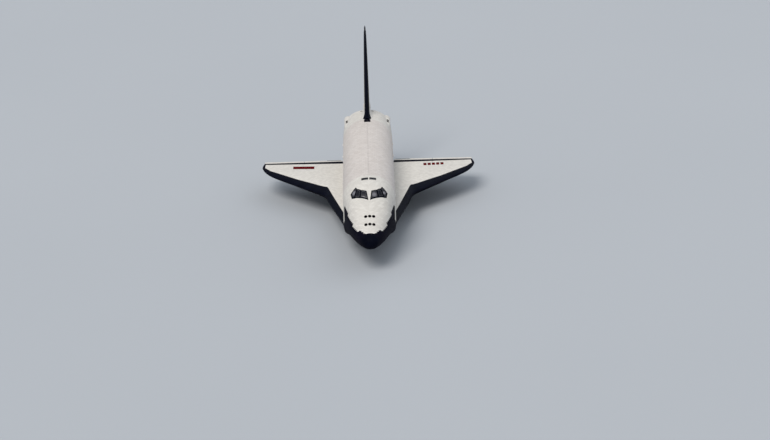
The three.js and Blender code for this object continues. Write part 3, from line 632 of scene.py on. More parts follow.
def skin_material():
    """Fuselage tiles: pale above and dark below a border that steps from tile to tile."""
    recipe = Recipe("fuselage_tiles", WHITE[0], 0.7, Specular_IOR_Level=DULL)
    tiles = recipe.tiles(TILE)
    share = recipe.math("DIVIDE", tiles[3], TAIL)
    pairs = [(s / TAIL, border_arc(max(s, 0.01), level) / ARC_RANGE) for s, level in BLACK_BORDER]
    border = recipe.math("MULTIPLY", curve_of(recipe, share, pairs), ARC_RANGE)
    dark = recipe.math("LESS_THAN", recipe.math("ABSOLUTE", tiles[2]), border)
    pale = tile_finish(recipe, tiles, WHITE, 0.22)
    deep = tile_finish(recipe, tiles, TILE_BLACK, 0.5)
    recipe.color(recipe.blend(dark, pale, deep))
    recipe.roughness(recipe.span(dark, 0.0, 1.0, 0.78, 0.62))
    recipe.bump(recipe.math("SUBTRACT", recipe.math("MULTIPLY", tiles[1], 0.3), tiles[0]), 0.004)
    return recipe.material


def tile_material(name, colors, size, roughness, seam_share, specular=DULL):
    recipe = Recipe(name, colors[0], roughness, Specular_IOR_Level=specular)
    tiles = recipe.tiles(size)
    recipe.color(tile_finish(recipe, tiles, colors, seam_share))
    recipe.roughness(recipe.span(tiles[1], 0.0, 1.0, roughness - 0.06, roughness + 0.06))
    recipe.bump(recipe.math("SUBTRACT", recipe.math("MULTIPLY", tiles[1], 0.3), tiles[0]), 0.004)
    return recipe.material


def blanket_material(name, colors, size):
    """Quilted felt: pillows between stitched lines."""
    recipe = Recipe(name, colors[0], 0.9, Specular_IOR_Level=0.2, Sheen_Weight=0.1)
    tiles = recipe.tiles(size, 0.12)
    weave = recipe.noise(90.0, 2.0)
    quilt = tile_finish(recipe, tiles, colors, 0.14)
    recipe.color(recipe.blend(recipe.math("MULTIPLY", weave, 0.12), quilt, (0.3, 0.28, 0.25)))
    recipe.bump(recipe.math("SUBTRACT", recipe.math("MULTIPLY", weave, 0.2), tiles[0]), 0.012)
    return recipe.material


def carbon_material():
    """Leading edge shells: satin charcoal with a seam at each shell."""
    recipe = Recipe("carbon_shells", BLACK[0], 0.5, Specular_IOR_Level=DULL)
    parts = recipe.node("SeparateXYZ", recipe.map_place())
    shell = recipe.math("DIVIDE", parts.outputs[0], 0.62)
    seam = recipe.span(recipe.math("PINGPONG", shell, 0.5), 0.0, 0.02, 1.0, 0.0)
    color = recipe.blend(recipe.random(recipe.math("FLOOR", shell), 0.5, 0.5), *BLACK)
    grain = recipe.span(recipe.noise(3.0, 5.0), 0.3, 0.7, 0.0, 0.35)
    color = recipe.blend(grain, color, (0.005, 0.006, 0.011))
    recipe.color(recipe.blend(seam, color, (0.001, 0.001, 0.0015)))
    recipe.roughness(recipe.span(recipe.noise(6.0, 3.0), 0.2, 0.8, 0.44, 0.6))
    recipe.bump(recipe.math("MULTIPLY", seam, -1.0), 0.008)
    return recipe.material


def plain_material(name, color, roughness, metallic=0.0, wear=0.15, scale=4.0, bump=0.001, **uniform):
    """Paint, metal or rubber: mottled a little, with uneven gloss and a fine bump."""
    recipe = Recipe(name, color, roughness, metallic, **uniform)
    mottle = recipe.span(recipe.noise(scale, 5.0), 0.3, 0.7, 0.0, 1.0)
    shades = [[min(1.0, c * share) for c in color] for share in (1 - wear, 1 + wear)]
    recipe.color(recipe.blend(mottle, *shades))
    gloss = [min(1.0, roughness * share) for share in (0.85, 1.15)]
    recipe.roughness(recipe.span(recipe.noise(scale * 2.7, 3.0), 0.25, 0.75, *gloss))
    recipe.bump(recipe.noise(scale * 20, 2.0), bump)
    return recipe.material


# Painted reflections on the window panes, pale patches that stand in for glints: port offset, station,
# level, reach
PANE_GLINTS = [
    (-1.62, 5.35, 5.3, 0.36),
    (0.52, 4.85, 5.2, 0.36),
    (-0.6, 4.62, 4.97, 0.24),
    (1.62, 5.3, 5.25, 0.24),
]
PANE_COLOR = (0.006, 0.006, 0.012)
GLINT_COLOR = (0.34, 0.33, 0.36)


def glass_material():
    """Dark layered panes with a few soft pale patches painted on as reflections."""
    recipe = Recipe("window_glass", PANE_COLOR, 0.3, IOR=1.5, Transmission_Weight=0.2,
                    Specular_IOR_Level=0.16)
    share = 0.0
    for x, station, level, reach in PANE_GLINTS:
        away = recipe.node("VectorMath", recipe.place(), tuple(at(x, station, level)), operation="DISTANCE")
        patch = recipe.span(away.outputs["Value"], 0.4 * reach, reach, 1.0, 0.0)
        share = recipe.math("MAXIMUM", share, patch)
    share = recipe.math("MULTIPLY", share, recipe.span(recipe.noise(1.2, 2.0), 0.3, 0.7, 0.6, 0.9))
    # Painted reflections: pale patches blended into the colour of the panes
    recipe.color(recipe.blend(share, PANE_COLOR, GLINT_COLOR))
    recipe.roughness(recipe.span(recipe.noise(1.5, 3.0), 0.3, 0.7, 0.26, 0.36))
    return recipe.material


def roof_glass_material():
    """Roof panes under a dark screen, duller than the windscreen."""
    recipe = Recipe("roof_glass", (0.004, 0.004, 0.007), 0.3, Specular_IOR_Level=0.1)
    recipe.color(recipe.blend(recipe.noise(6.0, 2.0), (0.003, 0.003, 0.005), (0.006, 0.006, 0.010)))
    return recipe.material


def radiator_material():
    """Mirror film over tubes, each strip a little different."""
    recipe = Recipe("radiator_film", (0.8, 0.81, 0.83), 0.22, 0.85)
    parts = recipe.node("SeparateXYZ", recipe.map_place())
    strip = recipe.math("FLOOR", recipe.math("DIVIDE", parts.outputs[1], 1.15))
    recipe.color(recipe.blend(recipe.random(strip, 0.5, 0.5), (0.66, 0.67, 0.70), (0.86, 0.86, 0.87)))
    recipe.roughness(recipe.span(recipe.noise(5.0, 3.0), 0.3, 0.7, 0.16, 0.3))
    recipe.bump(recipe.noise(30.0, 2.0), 0.001)
    return recipe.material


def nozzle_material():
    """Heat-stained metal, straw and blue bands towards the rim."""
    recipe = Recipe("nozzle_metal", (0.35, 0.33, 0.31), 0.38, 0.9)
    band = recipe.span(recipe.noise(2.2, 3.0, stretch=(1.0, 4.0, 1.0)), 0.3, 0.7)
    color = recipe.blend(band, (0.20, 0.17, 0.15), (0.42, 0.40, 0.38))
    blue = recipe.span(recipe.noise(1.1, 2.0), 0.45, 0.75, 0.0, 0.5)
    recipe.color(recipe.blend(blue, color, (0.12, 0.13, 0.19)))
    recipe.roughness(recipe.span(recipe.noise(9.0, 3.0), 0.3, 0.7, 0.3, 0.48))
    recipe.bump(recipe.noise(60.0, 2.0), 0.001)
    return recipe.material


def rubber_material():
    recipe = Recipe("tyre_rubber", (0.018, 0.018, 0.019), 0.82, Specular_IOR_Level=0.3)
    dust = recipe.span(recipe.noise(3.0, 5.0), 0.45, 0.8, 0.0, 0.5)
    recipe.color(recipe.blend(dust, (0.016, 0.016, 0.017), (0.06, 0.057, 0.053)))
    recipe.bump(recipe.noise(120.0, 3.0), 0.001)
    return recipe.material


def fabric_material():
    recipe = Recipe("seat_fabric", (0.10, 0.12, 0.10), 0.95, Sheen_Weight=0.3)
    threads = recipe.node("TexWave", recipe.place())
    threads.inputs["Scale"].default_value = 60.0
    recipe.color(recipe.blend(threads.outputs[1], (0.07, 0.085, 0.07), (0.14, 0.16, 0.13)))
    recipe.bump(threads.outputs[1], 0.002)
    return recipe.material


SKIN = skin_material()
PALE_TILE = tile_material("white_tile", WHITE, TILE, 0.78, 0.2)
DARK_TILE = tile_material("black_tile", TILE_BLACK, TILE, 0.62, 0.5)
FELT = blanket_material("white_felt", FELT_WHITE, 0.42)
LINER = blanket_material("bay_liner", ((0.48, 0.47, 0.43), (0.58, 0.57, 0.52)), 0.5)
CARBON = carbon_material()
DARK_FRAME = plain_material("window_frame", (0.003, 0.0035, 0.0075), 0.6, wear=0.3, Specular_IOR_Level=DULL)
# Near black for bore walls, the nose thruster bells, the discs closing throats and the hub and pod vents:
# painted shade where light does not reach
BORE_SHADE = plain_material("painted_bore_shade", (0.003, 0.003, 0.004), 0.8, wear=0.3, Specular_IOR_Level=DULL)
RETAINER = plain_material("window_retainer", (0.09, 0.09, 0.095), 0.5)
GLASS = glass_material()
ROOF_GLASS = roof_glass_material()
RADIATOR = radiator_material()
NOZZLE = nozzle_material()
RUBBER = rubber_material()
FABRIC = fabric_material()
CABIN_PAINT = plain_material("cabin_paint", (0.20, 0.215, 0.22), 0.7)
PANEL_PAINT = plain_material("panel_paint", (0.035, 0.038, 0.042), 0.55)
SCREEN = plain_material("instrument_faces", (0.05, 0.10, 0.10), 0.2, wear=0.4, scale=30.0)
GEAR_PAINT = plain_material("gear_paint", (0.60, 0.62, 0.63), 0.4, 0.2)
BRIGHT_METAL = plain_material("bright_metal", (0.72, 0.73, 0.74), 0.18, 0.95, wear=0.05)
WHEEL_METAL = plain_material("wheel_metal", (0.56, 0.57, 0.58), 0.35, 0.7)
WELL_PAINT = plain_material("well_paint", (0.26, 0.30, 0.24), 0.65)
RED_PAINT = plain_material("red_marking", (0.10, 0.003, 0.005), 0.8, wear=0.12, Specular_IOR_Level=DULL)
SEAL = plain_material("seal_grey", (0.12, 0.12, 0.13), 0.75)
WHITE_PAINT = plain_material("white_panel", (0.66, 0.63, 0.59), 0.7, wear=0.06)


# Stage, camera and lights

VIEW = {"elevation": 20.88, "azimuth": -0.32, "roll": -1.45, "distance": 266.9, "lens": 114.25}
TARGET = (1.65, 15.0, -1.52)
FLOOR_SIZE = 3000.0


def make_camera():
    elevation, azimuth, roll = (math.radians(VIEW[key]) for key in ("elevation", "azimuth", "roll"))
    back = Vector((math.sin(azimuth) * math.cos(elevation), -math.cos(azimuth) * math.cos(elevation),
                   math.sin(elevation)))
    level = Vector((0, 0, 1)).cross(back).normalized()
    up = back.cross(level)
    right = level * math.cos(roll) + up * math.sin(roll)
    data = bpy.data.cameras.new("camera")
    data.lens, data.sensor_width, data.clip_start, data.clip_end = VIEW["lens"], 36.0, 10.0, 2000.0
    camera = bpy.data.objects.new("camera", data)
    bpy.context.scene.collection.objects.link(camera)
    turn = Matrix((right, back.cross(right), back)).transposed().to_4x4()
    camera.matrix_world = Matrix.Translation(Vector(at(*TARGET)) + back * VIEW["distance"]) @ turn
    bpy.context.scene.camera = camera


def make_stage():
    recipe = Recipe("floor", (0.43, 0.45, 0.475), 0.95, Specular_IOR_Level=0.1)
    recipe.color(recipe.blend(recipe.noise(0.02, 2.0), (0.42, 0.44, 0.465), (0.44, 0.46, 0.485)))
    corners = [(x * FLOOR_SIZE, y * FLOOR_SIZE) for x, y in ((-1, -1), (1, -1), (1, 1), (-1, 1))]
    floor = Build().add(loft([[(x, y, z) for x, y in corners] for z in (-1, 0)]))
    floor.make("floor", [recipe.material])
    world = bpy.data.worlds.new("world")
    bpy.context.scene.world = world
    world.use_nodes = True
    sky = world.node_tree.nodes["Background"]
    sky.inputs["Color"].default_value = (0.80, 0.86, 0.94, 1.0)
    sky.inputs["Strength"].default_value = 0.62


def make_light(name, turn, strength, spread, color):
    data = bpy.data.lights.new(name, "SUN")
    data.energy, data.angle, data.color = strength, math.radians(spread), color
    light = bpy.data.objects.new(name, data)
    light.rotation_euler = [math.radians(angle) for angle in turn]
    bpy.context.scene.collection.objects.link(light)


make_camera()
make_stage()
make_light("key", (38, 0, -28), 2.1, 30, (1.0, 0.965, 0.92))
make_light("fill", (62, 0, 150), 0.5, 60, (0.88, 0.93, 1.0))
bpy.context.scene.view_settings.view_transform = "Standard"


# Fuselage

RING = 144


def body_ring(station, grow=0.0, low=None):
    """One closed section and its map row: distance along the skin from the bottom centre, and station."""
    section = half_section(station, grow)
    if low is not None:
        section[:, 1] = np.maximum(section[:, 1], low)
    along = lengths(section)
    arcs = np.linspace(-along[-1], along[-1], RING + 1)
    x = np.sign(arcs) * np.interp(np.abs(arcs), along, section[:, 0])
    level = np.interp(np.abs(arcs), along, section[:, 1])
    return at(x, station, level)[:-1], np.column_stack((arcs, np.full(RING + 1, station)))


def body_loft(stations, grow=0.0, low=None, slot=0, caps=None):
    rings, places = zip(*(body_ring(s, grow, low) for s in stations))
    return loft(rings, places, slot, caps or (slot, slot))


def steps(start, end, size):
    return np.linspace(start, end, max(2, round((end - start) / size) + 1))


def grooved(start, end, size, seams, width=0.02):
    """Stations with a narrow dip at each seam: pairs of station and share of the dip."""
    plain = [(s, 0) for s in steps(start, end, size) if all(abs(s - seam) > 2 * width for seam in seams)]
    dips = [(seam + d, share) for seam in seams for d, share in ((-width, 0), (0, 1), (width, 0))]
    return sorted(plain + dips)


def pane_prism(corners, depth_in=0.42, depth_out=0.3):
    """A block through the skin with the outline of a pane."""
    x, station = np.array(corners).T
    points = at(x, station, body_level(x, station))
    centre = points.mean(axis=0)
    normal = sum(np.cross(p - centre, q - centre) for p, q in zip(points, np.roll(points, -1, axis=0)))
    normal = normal / np.linalg.norm(normal) * np.sign(normal[2])
    return loft([points - normal * depth_in, points + normal * depth_out])


def flipped(corners):
    return [(-x, s) for x, s in corners[::-1]]


ALL_PANES = [side for pane in [*PANES, ROOF_PANE] for side in (pane, flipped(pane))]

# Nose thrusters: port offset, station
THRUSTERS = [(x, s) for s in (1.86, 2.75) for x in (-0.41, 0.0, 0.41)]
THRUSTER = {"radius": 0.155, "depth": 0.34, "rim": 0.02}


def skin_normal(x, station):
    step = 0.02
    offsets = np.array((x + step, x - step, x, x))
    stations = np.array((station, station, station + step, station - step))
    level = body_level(offsets, stations)
    normal = np.array((level[1] - level[0], level[3] - level[2], 2 * step))
    return normal / np.linalg.norm(normal)


def skin_point(x, station, out=0.0):
    normal = skin_normal(x, station)
    return at(x, station, body_level(x, station)[0]) + normal * out, normal


def skin_patch(x0, x1, s0, s1, lift=0.004, count=5):
    """A thin plate that follows the upper skin between two port offsets and two stations."""
    rings = []
    for x in np.linspace(x0, x1, count):
        stations = np.linspace(s0, s1, count)
        levels = body_level(x, stations)
        outer, inner = at(x, stations, levels + lift), at(x, stations, levels - 0.02)
        rings.append(np.vstack((outer, inner[::-1])))
    return loft(rings)


def hatch_frame():
    level = HATCH["level"] - HATCH["hinge_drop"]
    ends = [at(body_offset(s, level) + HATCH["hinge_out"], s, level)
            for s in (HATCH["station"] - 0.15, HATCH["station"] + 0.15)]
    return HingeFrame(*ends, (1, 0, 0), (0, 0, 1))


class HingeFrame:
    """t runs along a hinge, c towards the free edge of its flap, h across it."""

    def __init__(self, start, end, outward, thick):
        self.start, span = np.asarray(start, float), np.asarray(end, float) - start
        self.length = float(np.linalg.norm(span))
        self.along = span / self.length
        self.free = self.square(np.asarray(outward, float), self.along)
        self.thick = self.square(np.asarray(thick, float), self.along, self.free)

    @staticmethod
    def square(vector, *others):
        for other in others:
            vector = vector - other * vector.dot(other)
        return vector / np.linalg.norm(vector)

    def place(self, t, c, h):
        t, c, h = np.broadcast_arrays(t, c, h)
        return self.start + t[..., None] * self.along + c[..., None] * self.free + h[..., None] * self.thick

    def ring(self, t, outline):
        c, h = np.asarray(outline, float).T
        return self.place(np.full(len(c), float(t)), c, h)

    def locate(self, point):
        away = np.asarray(point) - self.start
        return away.dot(self.along), away.dot(self.free)

    def block(self, t0, t1, outline):
        """A straight block with one outline across the hinge."""
        return loft([self.ring(t, outline) for t in (t0, t1)])

    def barrel(self, t0, t1, radius, sides=20, slot=0):
        ends = self.place(np.array((t0, t1)), 0.0, 0.0)
        return rod(ends[0], ends[1], radius, sides, slot)


# The cap's rim rolls in at its seam: distance ahead of the seam, growth
CAP_RIM = ((0.02, -0.001), (0.006, -0.004), (0.0, -0.012))


def make_nose_cap():
    stations = CAP_END * np.linspace(0.0, 1.0, 15)**2
    cap = Build().add(body_loft([*stations[:-1], CAP_END - CAP_RIM[0][0]], caps=(0, 0)))
    cap.add(loft([body_ring(CAP_END - ahead, grow)[0] for ahead, grow in CAP_RIM]))
    return dress(cap.make("nose_cap_shell", [CARBON]), "airframe", "carbon_edge", "nose_cap")


def forward_shell():
    """The hollow forward fuselage before its hatch hole is cut."""
    stations = steps(CAP_END + 0.004, BAY_START - SEAM, 0.1)
    shell = Build().add(body_loft(stations)).make("forward_skin", [SKIN, CABIN_PAINT, BORE_SHADE, WHITE_PAINT])
    inner = steps(CABIN["start"], CABIN["end"], 0.2)
    cavity = Build().add(body_loft(inner, -CABIN["wall"], CABIN["low"])).make("cavity", [CABIN_PAINT])
    carve(shell, cavity)
    holes = Build()
    for pane in ALL_PANES:
        holes.add(pane_prism(pane))
    bore = [(THRUSTER["radius"], -THRUSTER["depth"]), (THRUSTER["radius"], 0.2)]
    for place in THRUSTERS:
        holes.add(turned(bore, *skin_point(*place), 28))
    return carve(shell, holes.make("holes", [BORE_SHADE]))


def hatch_plug(frame_, radius):
    """A round plug through the skin at the hatch."""
    inner, outer = frame_.place(frame_.length / 2, np.array((-0.7, 0.5)), HATCH["hinge_drop"])
    plug = turned([(radius, 0), (radius, 1.2)], inner, outer - inner, 48)
    return Build().add(plug).make("plug", [CABIN_PAINT])


# Share of a fuselage section under which a cut face counts as inside
INSIDE = 0.955


def inner_faces(obj):
    """Slots for cut faces: the cabin side, and the bores of the thrusters in painted shade."""
    def rule(middles, normals, slots):
        inside = body_share(middles) < INSIDE
        ahead = middles[:, 1] + LENGTH / 2 < CABIN["start"] - 0.05
        front_face = (normals[:, 1] < -0.999) & ahead
        bulkhead = middles[:, 1] + LENGTH / 2 > BAY_START - 2 * SEAM
        slots = np.where((inside & ahead) | front_face, 2, np.where(inside, 1, 0))
        return np.where(bulkhead, 3, slots)
    repaint(obj, rule)


def make_forward_fuselage():
    shell = forward_shell()
    door = hatch_frame()
    panel = copied(shell, "hatch_panel")
    carve(panel, hatch_plug(door, HATCH["radius"]), "INTERSECT")
    carve(shell, hatch_plug(door, HATCH["radius"] + HATCH["gap"]))
    for piece in (shell, panel):
        inner_faces(piece)
    dress(shell, "airframe", "white_tile", "forward_fuselage")
    dress(panel, "hatch", "white_tile", "crew_hatch")
    make_hatch_parts(door)


# Round parts of the hatch: radius, distance out of the skin
HATCH_RIM = [(0.125, -0.05), (0.125, 0.012), (0.165, 0.012), (0.165, -0.05)]
HAND_WHEEL = [(0.19, -0.012), (0.21, 0.0), (0.19, 0.012), (0.17, 0.0)]
# Outlines across the hatch's hinge: distance towards the free edge, distance across
HATCH_STRAP = [(-0.06, 0.022), (0.02, 0.022), (0.02, 0.06), (-0.03, 0.2), (-0.06, 0.2)]
HATCH_LUG = [(-0.09, -0.035), (0.0, -0.035), (0.0, 0.0), (-0.09, 0.0)]


def make_hatch_parts(door):
    """Window, rim, strap and handle of the hatch, and its lugs on the fuselage."""
    half = door.length / 2
    centre = door.place(half, -HATCH["hinge_out"], HATCH["hinge_drop"])
    parts = Build()
    parts.add(turned(HATCH_RIM, centre, door.free, 32, closed=True))
    parts.add(turned(band(0.0, 0.124, -0.03, -0.012), centre, door.free, 32), 1)
    parts.add(door.block(half - 0.055, half + 0.055, HATCH_STRAP))
    parts.add(door.barrel(half - 0.06, half + 0.06, 0.035))
    parts.add(hand_wheel(door), 2)
    dress(parts.make("hatch_fittings", [DARK_FRAME, GLASS, BRIGHT_METAL]), "hatch", "white_tile")
    make_hatch_lugs(door, centre)


def hand_wheel(door):
    """The wheel with three spokes on the hatch's inner side."""
    back = door.place(door.length / 2, -HATCH["hinge_out"] - CABIN["wall"] - 0.02, HATCH["hinge_drop"])
    parts = Build().add(turned(HAND_WHEEL, back, door.free, 32, closed=True))
    for spoke in range(3):
        angle = spoke * 2 * math.pi / 3
        tip = back + HAND_WHEEL[0][0] * (math.cos(angle) * door.thick + math.sin(angle) * door.along)
        parts.add(rod(back, tip, 0.012, 8))
    return parts.add(rod(back - 0.03 * door.free, back + 0.06 * door.free, 0.04)).shape()


def make_hatch_lugs(door, centre):
    """The hinge lugs on the fuselage, and the seal round the opening."""
    half = door.length / 2
    lugs = Build()
    for t0, t1 in ((half - 0.14, half - 0.062), (half + 0.062, half + 0.14)):
        lugs.add(door.barrel(t0, t1, 0.035))
        lugs.add(door.block(t0, t1, HATCH_LUG))
    inner, outer = HATCH["radius"] + 0.012, HATCH["radius"] + 0.034
    seal = [(outer, -0.13), (outer, -0.02), (inner, -0.03), (inner, -0.13)]
    lugs.add(turned(seal, centre, door.free, 48, closed=True), 1)
    dress(lugs.make("hatch_lugs", [DARK_FRAME, SEAL]), "airframe", "black_tile")


def inset(corners, distance):
    """The outline moved inwards by a distance, or outwards if it is negative."""
    points = np.array(corners, float)
    area = sum(a[0] * b[1] - a[1] * b[0] for a, b in zip(points, np.roll(points, -1, axis=0)))
    edges = np.roll(points, -1, axis=0) - points
    normals = np.column_stack((-edges[:, 1], edges[:, 0])) * np.sign(area)
    normals /= np.linalg.norm(normals, axis=1)[:, None]
    before = np.roll(normals, 1, axis=0)
    miter = (normals + before) / (1 + np.sum(normals * before, axis=1))[:, None]
    return points + miter * distance


def pane_loop(corners, distance, proud, splits=6):
    """A closed line on the skin along an inset outline, lifted off it by proud."""
    outline = inset(corners, distance)
    ahead = np.roll(outline, -1, axis=0)
    counts = np.arange(splits)[:, None]
    line = np.concatenate([p + (q - p) * counts / splits for p, q in zip(outline, ahead)])
    x, station = line.T
    return at(x, station, body_level(x, station) + proud)


# Window frame sections: distance inwards from the pane outline, height over the skin
RETAINER_SECTION = [(0.056, 0.018), (0.07, 0.018), (0.07, -0.02), (0.056, -0.02)]
FRAME_SECTION = [
    (-0.05, -0.02), (-0.045, 0.012), (-0.03, 0.02), (0.055, 0.016), (0.065, 0.006), (0.065, -0.05),
    (0.0, -0.06),
]
ROOF_SECTION = [(-0.03, -0.02), (-0.025, 0.01), (0.03, 0.01), (0.035, -0.03), (0.0, -0.05)]
PANE_THICKNESS = 0.014


def window(corners, section, glass_depth):
    """The frame of a pane, and its glass as rings about the pane's middle."""
    rim = loft([pane_loop(corners, d, h) for d, h in section], around=True)
    sheet_in = section[-2][0] - 0.004
    x, station = np.array(corners).mean(axis=0)
    middle = (x, station - LENGTH / 2)
    outer, inner = (glass_depth, (0.0, 0.35, 0.7, 1.0)), (glass_depth - PANE_THICKNESS, (1.0, 0.5, 0.0))
    rings = []
    for depth, shares in (outer, inner):
        border = pane_loop(corners, sheet_in, depth)[:, :2]
        for share in shares:
            plan = (border - middle) * share + middle
            stations = plan[:, 1] + LENGTH / 2
            rings.append(at(plan[:, 0], stations, body_level(plan[:, 0], stations) + depth))
    return rim, loft(rings)


def make_windows():
    """Frames and panes of the windscreen and the roof windows."""
    frames, panes = Build(), Build()
    for corners in PANES:
        rim, sheet = window(corners, FRAME_SECTION, -0.02)
        retainer = loft([pane_loop(corners, d, h) for d, h in RETAINER_SECTION], around=True)
        frames.add(rim).add(retainer, 1)
        panes.add(sheet)
    rim, sheet = window(ROOF_PANE, ROOF_SECTION, -0.015)
    make_sides(frames.shape(), "window_frames_{}", [DARK_FRAME, RETAINER], "airframe", "black_tile")
    make_sides(panes.shape(), "window_panes_{}", [GLASS], "airframe", "window_glass", "windscreen_{}",
               sharp=60)
    make_sides(rim, "roof_frame_{}", [DARK_FRAME], "airframe", "black_tile")
    make_sides(sheet, "roof_pane_{}", [ROOF_GLASS], "airframe", "window_glass", "roof_window_{}", sharp=60)


# Bell of a nose thruster, outer and then inner side: radius, distance out of the skin
THRUSTER_BELL = [
    (0.03, -0.3), (0.05, -0.24), (0.085, -0.13), (0.115, -0.03),
    (0.108, -0.03), (0.075, -0.13), (0.04, -0.24), (0.02, -0.3),
]


def make_thruster_rims():
    """Rim, bell and bottom of each bore in the nose, the bell and bottom in painted shade."""
    inner, outer = THRUSTER["radius"], THRUSTER["radius"] + THRUSTER["rim"]
    lip = [(inner, -0.06), (inner, 0.006), (outer, 0.008), (outer, -0.06)]
    rims = Build()
    for place in THRUSTERS:
        point, normal = skin_point(*place)
        rims.add(turned(lip, point, normal, 28, closed=True))
        rims.add(turned(THRUSTER_BELL, point, normal, 28, closed=True), 1)
        rims.add(turned(band(0.0, 0.12, -0.31, -0.28), point, normal, 20), 1)
    dress(rims.make("nose_thrusters", [DARK_FRAME, BORE_SHADE]), "airframe", "black_tile")


# Payload bay

DOOR_SEAMS = list(np.arange(1, 12) * (BAY_END - BAY_START) / 12 + BAY_START)


def bay_hinge():
    x, level = BODY[13][1] + BAY["hinge_out"], BAY["sill"] + 0.01
    return HingeFrame(at(x, BAY_START, level), at(x, BAY_END, level), (1, 0, 0), (0, 0, 1))


def trough_line():
    port = np.array(TROUGH)
    return np.vstack((port, port[::-1] * (-1, 1)))


MID_POINTS = 60
LINER_WIDTH = 7.0


def mid_shape():
    """The open middle fuselage: rings of its skin from sill to sill, and back along the trough."""
    inner = trough_line()
    liner = np.linspace(0.0, LINER_WIDTH, len(inner) + 1)
    rings, places = [], []
    for station, share in grooved(BAY_START + SEAM, BAY_END - SEAM, 0.5, DOOR_SEAMS[1::2]):
        section = cut(half_section(station, -0.008 * share), 1, -0.02, BAY["sill"])
        port = walk(section, MID_POINTS)
        outer = np.vstack(((port * (-1, 1))[::-1], port[1:]))
        arcs = lengths(outer) - lengths(outer)[-1] / 2
        ring = np.vstack((outer, inner))
        rings.append(at(ring[:, 0], station, ring[:, 1]))
        places.append(np.column_stack((np.concatenate((arcs, liner)), np.full(len(ring) + 1, station))))
    slots = [0] * (2 * MID_POINTS - 2) + [1] * (len(inner) + 1)
    return loft(rings, places, slots, caps=(3, 3))


def make_mid_fuselage():
    """The middle fuselage with the nose wheel well cut out and painted."""
    body = Build().add(mid_shape()).make("mid_skin", [SKIN, LINER, WELL_PAINT, SEAL])
    half, start, end, depth = (NOSE_WELL[key] for key in ("half_width", "start", "end", "depth"))
    cutter = Build().add(slab((-half, start, -0.1), (half, end, depth)))
    carve(body, cutter.make("well", [WELL_PAINT]))

    def rule(middles, _, slots):
        inside = (body_share(middles) < INSIDE) & (middles[:, 2] - BELLY < depth + 0.02)
        return np.where(inside & (slots == 0), 2, slots)
    repaint(body, rule)
    dress(body, "airframe", "white_tile", "mid_fuselage")


# Bars along each side of the bay: low and high port offset, gap at the ends, low and high level
BAY_BARS = [
    (2.43, 2.66, 0.02, BAY["sill"] - 0.05, BAY["sill"] + 0.012),
    (2.24, 2.4, 0.1, 2.78, 2.9),
    (0.35, 0.5, 0.1, 1.405, 1.47),
]
BAY_FRAME = {"pitch": 1.3, "half": 0.035, "narrow": 0.955, "rise": 0.085}


def bay_frames():
    """Ribs round the trough."""
    line = trough_line()
    inner = line * (BAY_FRAME["narrow"], 1) + (0, BAY_FRAME["rise"])
    rim = np.vstack((line, inner[::-1]))
    ribs = Build()
    for station in steps(BAY_START + 0.1, BAY_END - 0.1, BAY_FRAME["pitch"]):
        ends = (station - BAY_FRAME["half"], station + BAY_FRAME["half"])
        ribs.add(loft([at(rim[:, 0], s, rim[:, 1]) for s in ends]))
    return ribs.shape()


def make_bay_fittings():
    """Frames, sill rails and wire trays of the open bay, and the sill's hinge lugs."""
    parts, hinge = Build().add(bay_frames()), bay_hinge()
    for x0, x1, gap, low, high in BAY_BARS:
        parts.pair(slab((x0, BAY_START + gap, low), (x1, BAY_END - gap, high)), 1)
    for start in KNUCKLE_STARTS:
        first = start + KNUCKLE["door"]
        last = first + KNUCKLE["sill"]
        parts.pair(hinge.barrel(first, last, KNUCKLE["radius"]), 1)
        parts.pair(slab((2.55, BAY_START + first, 3.45), (2.77, BAY_START + last, 3.6)), 1)
    piece = parts.make("bay_fittings", [CABIN_PAINT, WHITE_PAINT])
    dress(ease_edges(piece, 0.006), "airframe", "cabin_grey")


def door_section(station, outer_grow, inner_grow, low, centre, count):
    """Two lines under the upper skin, from a level up to a port offset."""
    lines = []
    for grow in (outer_grow, inner_grow):
        section = half_section(station, grow)
        upper = cut(section, 1, low, section[-1, 1])
        end = np.interp(-centre, -upper[:, 0], lengths(upper))
        lines.append(walk(upper, count, 0.0, end))
    return lines


def strip_ring(station, outer, inner):
    """A closed ring along an outer line and back along an inner one."""
    ring = np.vstack((outer, inner[::-1]))
    return at(ring[:, 0], station, ring[:, 1])


# The dark plate on the doors ahead of the fin's foot
FIN_FOOT = {"half_width": 0.36, "ahead": 0.85}
DOOR_POINTS = 44
# Where the door's map begins, as a distance along the skin from the bottom centre
DOOR_ARC = 3.6


def door_shape():
    """The port door, with a groove at each seam."""
    depth = BAY["door_depth"]
    start, end = BAY_START + BAY["door_gap"], BAY_END - BAY["door_gap"]
    rings, places = [], []
    for station, share in grooved(start, end, 0.4, DOOR_SEAMS, 0.016):
        outer, inner = door_section(station, -0.009 * share, -depth, BAY["door_edge"], 0.006, DOOR_POINTS)
        arcs = np.concatenate((lengths(outer) + DOOR_ARC, (lengths(inner) + DOOR_ARC)[::-1], [DOOR_ARC]))
        rings.append(strip_ring(station, outer, inner))
        places.append(np.column_stack((arcs, np.full(len(arcs), station))))
    slots = [0] * (DOOR_POINTS - 1) + [1] * (DOOR_POINTS + 1)
    return loft(rings, places, slots, caps=(1, 1))


def door_rib(seam):
    """A rib along the inner side of the port door, under a seam."""
    depth = BAY["door_depth"]
    outer, inner = door_section(seam, -depth + 0.002, -depth - 0.03, BAY["door_edge"] + 0.05, 0.03, 24)
    return loft([strip_ring(s, outer, inner) for s in (seam - 0.03, seam + 0.03)])


